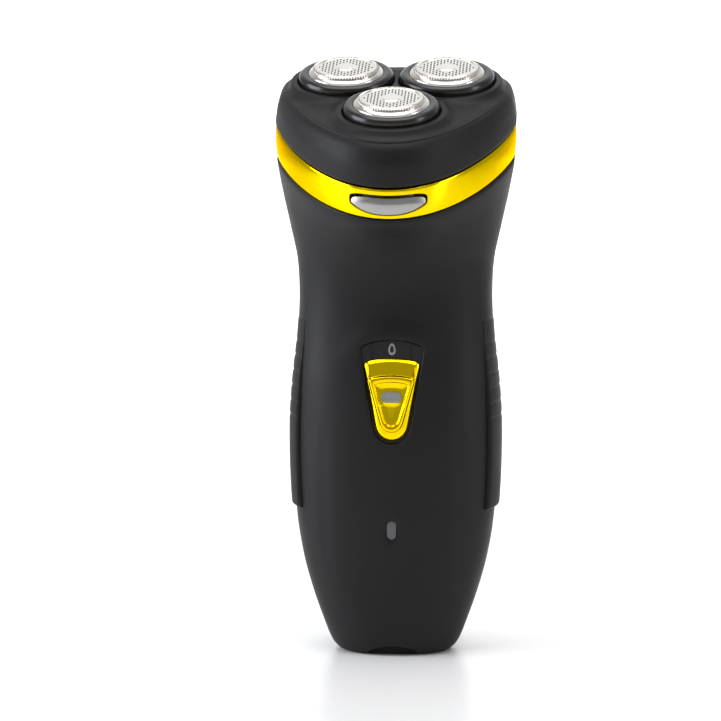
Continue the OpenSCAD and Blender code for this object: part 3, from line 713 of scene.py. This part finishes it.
def even_line(points, step):
    """An open line resampled at equal steps, with its corners rounded and its ends kept."""
    points = np.asarray(points, float)
    along = np.concatenate([[0], np.cumsum(np.linalg.norm(np.diff(points, axis=0), axis=1))])
    at = np.linspace(0, along[-1], int(along[-1] / step) + 1)
    line = np.stack([np.interp(at, along, points[:, k]) for k in range(2)], axis=1)
    for _ in range(4):
        line[1:-1] = (line[:-2] + 2 * line[1:-1] + line[2:]) / 4
    return line


def shift_line(line, t):
    """An open line moved by t to the left of its direction, its ends only up or down."""
    along = np.gradient(line, axis=0)
    normal = np.stack([-along[:, 1], along[:, 0]], axis=1)
    return line + t * normal / np.linalg.norm(normal, axis=1)[:, None]


def make_band(materials):
    """The gold band, with an opening for the release button and a notch at the back for the hinge."""
    scale = 0.52
    skin = Skin()

    def at(flat, off):
        return body_point(flat[:, 1], flat[:, 0] / scale + 90, off)

    def crown(h):
        middle = (BAND_LOW + BAND_HIGH) / 2
        return -0.18 * ((h - middle) / (BAND_HIGH - middle)) ** 2

    turn = 360 * scale
    notch = NOTCH_ANGLE * scale
    low = even_line([(0, BAND_LOW), (turn, BAND_LOW)], 0.75)
    high = even_line([(turn, NOTCH_H), (turn - notch, NOTCH_H), (turn - notch, BAND_HIGH), (notch, BAND_HIGH),
                      (notch, NOTCH_H), (0, NOTCH_H)], 0.75)
    edges = []
    for line in (low, high):
        rows = []
        for t, depth in lip_rings(BAND_LIP):
            moved = shift_line(line, t)
            moved[[0, -1], 0] = line[[0, -1], 0]
            rows.append(at(moved, crown(moved[:, 1]) - depth))
        rows.append(at(line, -BAND_WALL))
        edges.append(skin.loft(rows, closed=False))
    rim = []
    for line in (low, high):
        moved = shift_line(line, BAND_LIP)
        moved[[0, -1], 0] = line[[0, -1], 0]
        rim.append(moved)

    sides = []
    for flats, off_crown, off in ((rim, 1, 0), ((low, high), 0, -BAND_WALL)):
        column = np.linspace(flats[0][-1][1], flats[1][0][1], 6)[1:-1]
        right = np.stack([np.full_like(column, turn), column], axis=1)
        left = np.stack([np.zeros_like(column), column[::-1]], axis=1)
        sides.append((right, left, off_crown, off))

    pocket_lip, pocket_flare = 0.25, 0.5
    pocket = button_outline(0.2, 0.8, 0.2)
    rows = []
    for t, depth in lip_rings(pocket_lip):
        moved = grow(pocket, t)
        rows.append(on_front(moved, crown(moved[:, 1]) - depth))
    rows.append(on_front(grow(pocket, pocket_flare), -BAND_WALL))
    hole = skin.loft(rows)

    for which, (flats, place, grown) in enumerate(((rim, 0, pocket_lip), ((low, high), -1, pocket_flare))):
        right, left, off_crown, off = sides[which]
        right_ids = skin.add(at(right, off_crown * crown(right[:, 1]) + off))
        left_ids = skin.add(at(left, off_crown * crown(left[:, 1]) + off))
        loop = np.concatenate([edges[0][place], right_ids, edges[1][place], left_ids])
        flat = np.concatenate([flats[0], right, flats[1], left])
        around = grow(pocket, grown)
        around = np.stack([(front_angle(around[:, 0], around[:, 1]) - 90) * scale, around[:, 1]], axis=1)

        def lift(points, off_crown=off_crown, off=off):
            return at(points, off_crown * crown(points[:, 1]) + off)

        skin.fill([loop, hole[place]], [flat, around], lift, 0.8)
    skin.piece("band_gold", materials["gold_chrome"], "handle", "gold_chrome", ["trim_band"])


def make_button(materials):
    """The release button's face: satin, with a bevel along its top."""
    skin = Skin()
    outline = button_outline()

    def lift(flat, depth=0.0):
        top = button_top(np.clip(flat[:, 0] / BUTTON_HALF, -1, 1))
        off = 0.12 - 0.55 * (1 - smooth(0, 1.4, top - flat[:, 1]))
        return on_front(flat, off - depth)

    edge = 0.3
    rows = [on_front(outline, -BUTTON_WALL)]
    rows += [lift(grow(outline, -t), depth) for t, depth in reversed(lip_rings(edge))]
    loops = skin.loft(rows)
    skin.fill([loops[-1]], [grow(outline, -edge)], lift, 0.45)
    skin.fill([loops[0]], [outline], lambda flat: on_front(flat, -BUTTON_WALL), 1.5)
    skin.piece("button_face", materials["satin_silver"], "release", "satin_silver", ["release_button"])


# ---------------------------------------------------------------- head cover

def outline_columns(h, off, directions):
    """Distance from the head's axis and depth of the body's section at height h, in each direction."""
    a = np.linspace(0, 360, 721)[:-1]
    p, q, depth = head_local(body_point(np.full_like(a, h), a, off))
    turn = np.unwrap(np.arctan2(q, p))
    reach = np.hypot(p, q)
    turn = np.concatenate([turn - 2 * math.pi, turn, turn + 2 * math.pi])
    reach, depth = np.tile(reach, 3), np.tile(depth, 3)
    order = np.argsort(turn)
    return tuple(np.interp(directions, turn[order], values[order]) for values in (reach, depth))


def trefoil_distance(p, q):
    """Distance outside the plateau's edge, with the corners between the discs filled in."""
    k = 4.0
    near = None
    for side in SIDES:
        x, y = cutter_centre(side)
        d = np.hypot(p - x, q - y) - PITCH
        if near is None:
            near = d
        else:
            h = np.clip(0.5 + 0.5 * (near - d) / k, 0, 1)
            near = near * (1 - h) + d * h - k * h * (1 - h)
    return near


def plateau_edge(directions):
    """Distance from the head's axis to where the plateau begins to round off."""
    reach = np.linspace(0, 34, 681)[:, None]
    t = trefoil_distance(reach * np.cos(directions), reach * np.sin(directions))
    edge = reach[np.argmax(t > -0.9, axis=0), 0]
    for _ in range(4):
        edge = (np.roll(edge, 1) + 2 * edge + np.roll(edge, -1)) / 4
    return edge


def cover_top(directions):
    """Columns of distance and depth from the body at height 147 over the rounded deck onto the plateau."""
    heights = np.linspace(147, 150.7, 38)
    table = np.array([outline_columns(h, 0, directions) for h in heights])
    edge = plateau_edge(directions)
    columns = []
    for k, start in enumerate(edge):
        reach, depth = table[:, 0, k], table[:, 1, k]
        foot = max(reach[-1], start + 0.9)
        end = np.interp(-foot, -reach, heights)
        along = np.linspace(heights[0], end, 18)
        side_reach, side_depth = np.interp(along, heights, reach), np.interp(along, heights, depth)
        width = side_reach[-1] - start
        gentle = 0.45 * np.clip((width - 2) / 6, 0, 1)
        d = np.linspace(width, 0, 18)[1:]
        v = np.clip(d / min(width, 2.8), 0, 1)
        fall = (1 - gentle) * v * (1.6 - 0.6 * v) + gentle * d / width
        ramp = PLATEAU_DEPTH + (side_depth[-1] - PLATEAU_DEPTH) * fall
        flat = start - np.linspace(0, 0.8, 7)[1:]
        columns.append((np.concatenate([side_reach, start + d, flat]),
                        np.concatenate([side_depth, ramp, np.full(6, PLATEAU_DEPTH)])))
    reach, depth = np.array(columns).transpose(1, 2, 0)
    for _ in range(12):
        reach[2:-2] = (reach[1:-3] + 2 * reach[2:-2] + reach[3:-1]) / 4
        depth[2:-2] = (depth[1:-3] + 2 * depth[2:-2] + depth[3:-1]) / 4
    return reach, depth


def make_cover(materials):
    skin = Skin()
    directions = np.linspace(0, 2 * math.pi, 361)[:-1]
    cos, sin = np.cos(directions), np.sin(directions)
    rows = []
    for h in np.concatenate([[COVER_LOW, COVER_LOW + 0.03, COVER_LOW + 0.12, COVER_LOW + 0.3],
                             np.arange(COVER_LOW + 0.6, 146.9, 0.4)]):
        roll = -0.3 * np.clip(1 - (h - COVER_LOW) / 0.6, 0, 1) ** 2
        r, d = outline_columns(h, roll, directions)
        rows.append(head_point(r * cos, r * sin, d))
    for r, d in zip(*cover_top(directions)):
        rows.append(head_point(r * cos, r * sin, d))
    loops = skin.loft(rows)
    top = np.stack([r * cos, r * sin], axis=1)

    wall_rows = []
    for h in np.arange(COVER_LOW, 148.4, 0.6):
        r, d = outline_columns(h, -2, directions)
        wall_rows.append(head_point(r * cos, r * sin, np.maximum(d, ROOF_DEPTH)))
    roof_r = outline_columns(148.7, -2, directions)[0]
    wall_rows.append(head_point(roof_r * cos, roof_r * sin, np.full_like(roof_r, ROOF_DEPTH)))
    wall_loops = skin.loft(wall_rows)
    skin.strip(loops[0], wall_loops[0])

    top_loops, top_flats = [loops[-1]], [top]
    roof_loops, roof_flats = [wall_loops[-1]], [np.stack([roof_r * cos, roof_r * sin], axis=1)]
    for side in SIDES:
        centre = cutter_centre(side)
        profile = [(HOLE_R + t, PLATEAU_DEPTH + d) for t, d in lip_rings(0.35)]
        ring = skin.loft(spun(profile + [(HOLE_R, ROOF_DEPTH)], centre, 144))
        top_loops.append(ring[0])
        top_flats.append(unit_circle(144) * profile[0][0] + centre)
        roof_loops.append(ring[-1])
        roof_flats.append(unit_circle(144) * HOLE_R + centre)
    post_r, post_foot = 2.1, 9.3
    post_profile = [(post_r, ROOF_DEPTH), (post_r, post_foot), (1.3, post_foot), (1.3, ROOF_DEPTH + 0.3)]
    post = skin.loft(spun(post_profile, (0, 0), 32))
    skin.cap(post[-1])
    roof_loops.append(post[0])
    roof_flats.append(post_r * unit_circle(32))

    skin.fill(top_loops, top_flats, lambda flat: head_point(*flat.T, PLATEAU_DEPTH), 2)
    skin.fill(roof_loops, roof_flats, lambda flat: head_point(*flat.T, ROOF_DEPTH), 3)
    skin.piece("cover_black", materials["shell_black"], "head", "shell_black", ["head_cover"])


# ---------------------------------------------------------------- guards and their rings

def lathe(name, profile, side, material, body, slot, replaces, count=144, sharp=35):
    """A closed profile of radius and depth turned round a cutter's axis."""
    skin = Skin()
    loops = skin.loft(spun(profile, cutter_centre(side), count))
    skin.strip(loops[-1], loops[0])
    skin.piece(name, material, body, slot, replaces, sharp)


def make_ring(side, materials):
    """The gloss black ring that carries a guard and floats in the cover."""
    shoulder = [(11.2 + 1.4 * math.sin(t), 2.9 - 1.4 * math.cos(t)) for t in np.linspace(0, math.pi / 2, 14)]
    profile = [(9.25, 6.7), (9.25, 5.5), (10.09, 5.5), (10.09, 1.7), (10.13, 1.58), (10.3, 1.5)]
    profile += shoulder
    profile += [(12.6, 5.8), (13.1, 5.8), (13.2, 5.9), (13.2, 6.6), (13.1, 6.7)]
    lathe(f"ring_black_{side}", profile, side, materials["gloss_black"], f"ring_{side}", "gloss_black",
          [f"guard_ring_{side}"])


SLOT_COUNT = 72
SLOT_COLUMNS = 6
FIELD_R = 7.5
CAP_R = 2.6
PLATE_TOP = 0.2
PLATE_LOW = 0.5


def hair_slots():
    """Outlines, about the guard's axis, of the hair field's short openings in columns from front to back."""
    column_step, dash_step, half_w, half_l = 0.87, 1.55, 0.2, 0.52
    found = []
    columns = int(FIELD_R / column_step)
    for i in range(-columns, columns + 1):
        x = i * column_step
        shift = dash_step / 2 * (i % 2)
        for j in range(-6, 7):
            y = j * dash_step + shift
            far = math.hypot(abs(x) + half_w, abs(y) + half_l)
            near = math.hypot(x, max(abs(y) - half_l, 0))
            if far < FIELD_R - 0.25 and near > CAP_R + 0.3:
                outline = np.array([(-1, -0.75), (-0.5, -1), (0.5, -1), (1, -0.75),
                                    (1, 0.75), (0.5, 1), (-0.5, 1), (-1, 0.75)])
                found.append(outline * [half_w, half_l] + [x, y])
    return found


def make_guard(side, materials):
    """The metal cap: hair field, raised ring, shoulder with shallow pressed-in slots painted with shade,
    flared rim and skirt.
    """
    skin = Skin()
    centre = np.array(cutter_centre(side))
    count = SLOT_COUNT * SLOT_COLUMNS
    slotted = (np.arange(count) % SLOT_COLUMNS) < 4
    # Radius, depth, and whether the shoulder's slots are pressed in there, their faces painted dark as the
    # shade inside the openings
    profile = [
        (FIELD_R, PLATE_TOP, 0), (7.56, 0.12, 0), (7.62, 0.04, 0), (7.72, 0.0, 0), (7.98, 0.0, 0),
        (8.08, 0.03, 0), (8.14, 0.08, 0), (8.2, 0.1, 0), (8.22, 0.1, 1), (8.45, 0.16, 1), (8.7, 0.3, 1),
        (8.86, 0.46, 1), (8.92, 0.6, 1), (8.93, 0.62, 0), (8.86, 0.8, 0), (8.95, 0.9, 0), (9.2, 0.98, 0),
        (9.6, 1.2, 0), (9.9, 1.48, 0), (10.03, 1.7, 0), (10.04, 1.9, 0), (10.04, 5.45, 0),
        (9.65, 5.45, 0), (9.65, 1.9, 0), (9.3, 1.5, 0), (8.4, 1.1, 0), (8.2, 0.7, 0), (7.8, PLATE_LOW, 0),
        (FIELD_R, PLATE_LOW, 0),
    ]
    circle_at = unit_circle(count)
    rows = []
    for r, depth, cut in profile:
        pushed = np.where(slotted, 0.42 * cut, 0)
        radius = r - 0.6 * pushed * (depth > 0.3)
        rows.append(head_point(*(centre + radius[:, None] * circle_at).T, depth + pushed))
    loops = skin.loft(rows)
    # The pressed-in slots' faces get painted shade: gloss black stands in for the dark inside the open slots
    for row, ((_, _, cut), (_, _, following)) in enumerate(zip(profile, profile[1:])):
        if cut and following:
            skin.painted_shade_faces += [row * count + i for i in range(count) if slotted[i] and slotted[(i + 1) % count]]
    cap_count = 64
    cap_profile = [(CAP_R, PLATE_TOP), (2.5, 0.16), (2.4, 0.08), (2.25, 0.03), (2.0, 0.01), (1.4, 0)]
    cap = skin.loft(spun(cap_profile, centre, cap_count))
    skin.cap(cap[-1])
    top_loops, flats = [loops[0], cap[0]], [circle_at * FIELD_R, unit_circle(cap_count) * CAP_R]
    low_loops, low_flats = [loops[-1]], [circle_at * FIELD_R]
    for outline in hair_slots():
        pair = skin.loft([head_point(*(outline + centre).T, depth) for depth in (PLATE_TOP, PLATE_LOW)])
        top_loops.append(pair[0])
        low_loops.append(pair[1])
        flats.append(outline)
        low_flats.append(outline)

    def lift(flat, depth):
        return head_point(*(centre + flat).T, depth)

    skin.fill(top_loops, flats, lambda flat: lift(flat, PLATE_TOP), 2)
    skin.fill(low_loops, low_flats, lambda flat: lift(flat, PLATE_LOW), 3)
    # The gloss black passed last is the painted shade in the shoulder's slots
    skin.piece(f"guard_nickel_{side}", materials["steel"], f"ring_{side}", "steel", [f"guard_{side}"], 28,
               materials["gloss_black"])


# ---------------------------------------------------------------- slide switch

SLIDER_COUNT = 140


def make_slider(materials):
    """The gold slider: bevelled plate, raised shield-shaped rim, and a dished middle open for the window."""
    skin = Skin()
    plate = shield(7.5, 4.5, 22.2, 1.2, SLIDER_COUNT, 10) + [0, 0.7]
    rim_out = shield(6.4, 3.2, 15.4, 0.9, SLIDER_COUNT, 10) + [0, 3.1]
    rim_in = shield(4.6, 2, 11.5, 0.7, SLIDER_COUNT, 10) + [0, 5.1]
    # Outline, how far inside it, and height out of the recess
    steps = [
        (plate, 0, -1.3), (plate, 0, -0.85), (plate, 0.03, -0.72), (plate, 0.12, -0.62),
        (plate, 1.0, -0.14), (plate, 1.15, -0.06), (plate, 1.35, 0),
        (rim_out, -0.12, 0), (rim_out, 0, 0.03), (rim_out, 0.1, 0.14), (rim_out, 0.28, 0.5),
        (rim_out, 0.4, 0.66), (rim_out, 0.6, 0.77), (rim_out, 0.85, 0.8),
        (rim_in, -0.5, 0.79), (rim_in, -0.25, 0.7), (rim_in, -0.1, 0.55), (rim_in, 0, 0.3),
        (rim_in, 0.1, 0.2), (rim_in, 0.35, 0.12),
    ]
    loops = skin.loft([switch_point(*grow(outline, -inset).T, z) for outline, inset, z in steps])
    skin.cap(loops[0])
    window = stadium(1.48, 2.78, 60)[:, ::-1] * [1, -1] + [0, 12.6]
    pocket = skin.loft([switch_point(*window.T, z) for z in (0.06, -0.8)])
    skin.cap(pocket[-1])
    field = grow(rim_in, -0.35)

    def lift(flat):
        dish = 0.12 - 0.22 * (1 - (flat[:, 0] / 5) ** 2)
        near = np.min(np.linalg.norm(flat[:, None] - field[None], axis=2), axis=1)
        far = np.min(np.linalg.norm(flat[:, None] - window[None], axis=2), axis=1)
        share = smooth(0, 1.2, near)
        off_window = smooth(0, 0.8, far)
        return switch_point(*flat.T, 0.12 * (1 - share) + dish * share * off_window
                            + 0.06 * share * (1 - off_window))

    skin.fill([loops[-1], pocket[0]], [field, window], lift, 0.5)
    skin.piece("slider_gold", materials["gold_chrome"], "switch", "gold_chrome", ["switch_slider"], 50)
    stem = Skin()
    add_box(stem, switch_point, (-1.3, 8.5, -4.15), (1.3, 13.5, -1.25))
    stem.piece("slider_stem", materials["gold_chrome"], "switch", "gold_chrome", ["switch_slider"])


def add_box(skin, place, low, high):
    """A box between two corners in a local frame."""
    x, y, z = zip(low, high)
    loops = []
    for k in (0, 1):
        corners = [(x[0], y[0]), (x[1], y[0]), (x[1], y[1]), (x[0], y[1])]
        loops.append(skin.add([place(cx, cy, z[k]) for cx, cy in corners]))
    skin.strip(loops[0], loops[1])
    skin.cap(loops[0])
    skin.cap(loops[1])


def make_mark(materials):
    """The small drop-shaped zero above the slider."""
    skin = Skin()
    a = turn_steps(60)
    drop = np.stack([np.cos(a) * (1 - 0.22 * np.sin(a)), 1.35 * np.sin(a)], axis=1)
    outer, inner = drop * [0.95, 1.15] + [0, 25.2], drop * [0.5, 0.72] + [0, 25.2]
    low, high = -1.42, -1.37
    edges = ((outer, low), (outer, high), (inner, high), (inner, low))
    loops = skin.loft([switch_point(*outline.T, z) for outline, z in edges])
    skin.strip(loops[-1], loops[0])
    skin.piece("mark_zero", materials["satin_silver"], "handle", "satin_silver")


# ---------------------------------------------------------------- springs

def add_coil(skin, place, radius, wire, length, turns, count=20, sides=8):
    """A coil round the local z axis from 0 to length, its outside within the radius."""
    total = int(turns * count)
    b = turn_steps(sides)
    rows = []
    for i in range(total + 1):
        a = 2 * math.pi * i / count
        r = radius - wire + wire * np.cos(b)
        z = wire + (length - 2 * wire) * i / total + wire * np.sin(b)
        rows.append(place(r * math.cos(a), r * math.sin(a), z))
    loops = skin.loft(rows)
    skin.cap(loops[0])
    skin.cap(loops[-1])


def make_springs(materials):
    """The coils that push the release button out and the spindles up."""
    start = parting_point(0, -33.58, -3.9)
    length = 2.3

    def release(x, y, z):
        return framed(start, (RIGHT, -PARTING_UP, PARTING_BACK), x, y, z)

    skin = Skin()
    add_coil(skin, release, 1.9, 0.25, length, 3)
    spring = skin.piece("spring_release", materials["spring_steel"], "handle", "spring_steel",
                        ["release_spring"])
    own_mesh(spring)

    for side in SIDES:
        p, q = cutter_centre(side)

        def under(x, y, z, p=p, q=q):
            return head_point(p + x, q + y, SPINDLE_SPRING_FOOT - z)

        skin = Skin()
        add_coil(skin, under, 1.3, 0.17, 3.3, 5)
        spring = skin.piece(f"spring_spindle_{side}", materials["spring_steel"], f"gear_{side}",
                            "spring_steel", [f"spindle_spring_{side}"])
        foot = head_point(p, q, SPINDLE_SPRING_FOOT)
        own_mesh(spring)


# ---------------------------------------------------------------- head knuckle and button plate

def make_hidden_parts(materials):
    """The release button's plate and latch, and the cover's hinge knuckle."""
    skin = Skin()
    add_box(skin, parting_point, (-6.5, -37.9, -5.5), (6.5, -34.1, -2.3))
    add_box(skin, parting_point, (-11, -34.6, -6.8), (11, -33.6, -1))
    add_box(skin, parting_point, (-4, -34.6, -3.9), (4, -33.6, 1.5))
    skin.piece("button_plate", materials["abs_grey"], "release", "abs_grey", ["release_button"])

    skin = Skin()
    count, hinge_y, hinge_h = 48, 21.4, 150.9
    a = turn_steps(count)
    rows = []
    for x, r in ((-7, 0.85), (-7, 1.75), (-6.85, 1.9), (6.85, 1.9), (7, 1.75), (7, 0.85)):
        rows.append(np.stack([np.full(count, float(x)), hinge_y + r * np.cos(a), hinge_h + r * np.sin(a)],
                             axis=1))
    loops = skin.loft(rows)
    skin.strip(loops[-1], loops[0])
    skin.piece("cover_knuckle", materials["shell_black"], "head", "shell_black", ["head_cover"])
    skin = Skin()
    add_box(skin, parting_point, (-6.7, 18.4, 0.4), (6.7, 20.2, 2.4))
    skin.piece("cover_arm", materials["shell_black"], "head", "shell_black", ["head_cover"])


# ---------------------------------------------------------------- CAD pieces kept as they are

def finish_nodes(frame, materials):
    """Gives every CAD node that is still shown its material and smooth shading with crisp edges."""
    slots = {part["node"]: part["material_slot"] for part in frame["record"]["subparts"]}
    for name, node in frame["nodes"].items():
        if node.hide_render:
            continue
        node.data.materials.clear()
        node.data.materials.append(materials[slots[name]])
        node.data.polygons.foreach_set("use_smooth", [True] * len(node.data.polygons))
        node.data.set_sharp_from_angle(angle=math.radians(30))


# ---------------------------------------------------------------- stage, lights and camera

def area_light(name, place, target, size, power, colour=(1, 1, 1)):
    data = bpy.data.lights.new(name, "AREA")
    data.shape = "RECTANGLE"
    data.size, data.size_y = size
    data.energy = power
    data.color = colour
    light = bpy.data.objects.new(name, data)
    bpy.context.scene.collection.objects.link(light)
    light.location = place
    light.rotation_euler = (Vector(target) - Vector(place)).to_track_quat("-Z", "Y").to_euler()
    return light


def make_stage():
    """A pale floor that curves up into a backdrop, a bright surround and softboxes."""
    floor = principled("floor_white", (0.9, 0.9, 0.9), 0.3)
    varied(floor, noise(floor, 8, 2.0), "Roughness", 0.28, 0.34)
    skin = Skin()
    bend = np.radians(np.linspace(0, 90, 24))
    line = [(-1600, 0), (-600, 0), (400, 0)]
    line += [(900 + 500 * math.sin(t), 500 - 500 * math.cos(t)) for t in bend]
    line += [(1400, 3000)]
    loops = [skin.add([(x, y, z) for y, z in line]) for x in (-2500, 2500)]
    skin.strip(loops[0], loops[1], closed=False)
    mesh = bpy.data.meshes.new("floor")
    mesh.from_pydata([tuple(p * MM) for p in skin.points], [], [tuple(int(i) for i in f) for f in skin.faces])
    mesh.polygons.foreach_set("use_smooth", [True] * len(mesh.polygons))
    mesh.materials.append(floor)
    backdrop = bpy.data.objects.new("floor", mesh)
    bpy.context.scene.collection.objects.link(backdrop)

    world = bpy.data.worlds.new("surround")
    bpy.context.scene.world = world
    world.use_nodes = True
    sky = world.node_tree.nodes["Background"]
    sky.inputs["Color"].default_value = (1, 1, 1, 1)
    sky.inputs["Strength"].default_value = 0.35
    area_light("softbox_left", (-0.9, -0.2, 0.3), (0, 0, 0.09), (0.6, 0.9), 9, (0.92, 0.94, 1))
    area_light("softbox_right", (0.9, -0.3, 0.35), (0, 0, 0.09), (0.25, 0.9), 2.5)
    area_light("softbox_top", (0, -0.15, 0.95), (0, 0, 0), (0.9, 0.7), 6)
    area_light("backdrop_wash", (0, 0.5, 1.9), (0, 1.4, 1.4), (1.2, 0.3), 8)
    area_light("floor_wash", (0, 0.7, 0.42), (0, 1, 0), (1.4, 0.2), 8)


def make_camera():
    """The photo's view: a little above and to the right, from just under a metre away."""
    elevation, turn, distance = math.radians(7.6), math.radians(4), 0.95
    target = Vector((-0.0095, 0, 0.078))
    away = Vector((math.sin(turn) * math.cos(elevation), -math.cos(turn) * math.cos(elevation),
                   math.sin(elevation)))
    data = bpy.data.cameras.new("camera")
    data.lens = 177
    camera = bpy.data.objects.new("camera", data)
    bpy.context.scene.collection.objects.link(camera)
    camera.location = target + distance * away
    camera.rotation_euler = (-away).to_track_quat("-Z", "Y").to_euler()
    bpy.context.scene.camera = camera
    bpy.context.scene.view_settings.view_transform = "Standard"


def main():
    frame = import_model()
    materials = make_materials()
    make_front_shell(materials)
    make_rear_shell(materials)
    make_grip("right", 0, materials)
    make_grip("left", 180, materials)
    make_band(materials)
    make_button(materials)
    make_cover(materials)
    for side in SIDES:
        make_ring(side, materials)
        make_guard(side, materials)
    make_slider(materials)
    make_mark(materials)
    make_springs(materials)
    make_hidden_parts(materials)
    finish_nodes(frame, materials)
    make_stage()
    make_camera()


main()
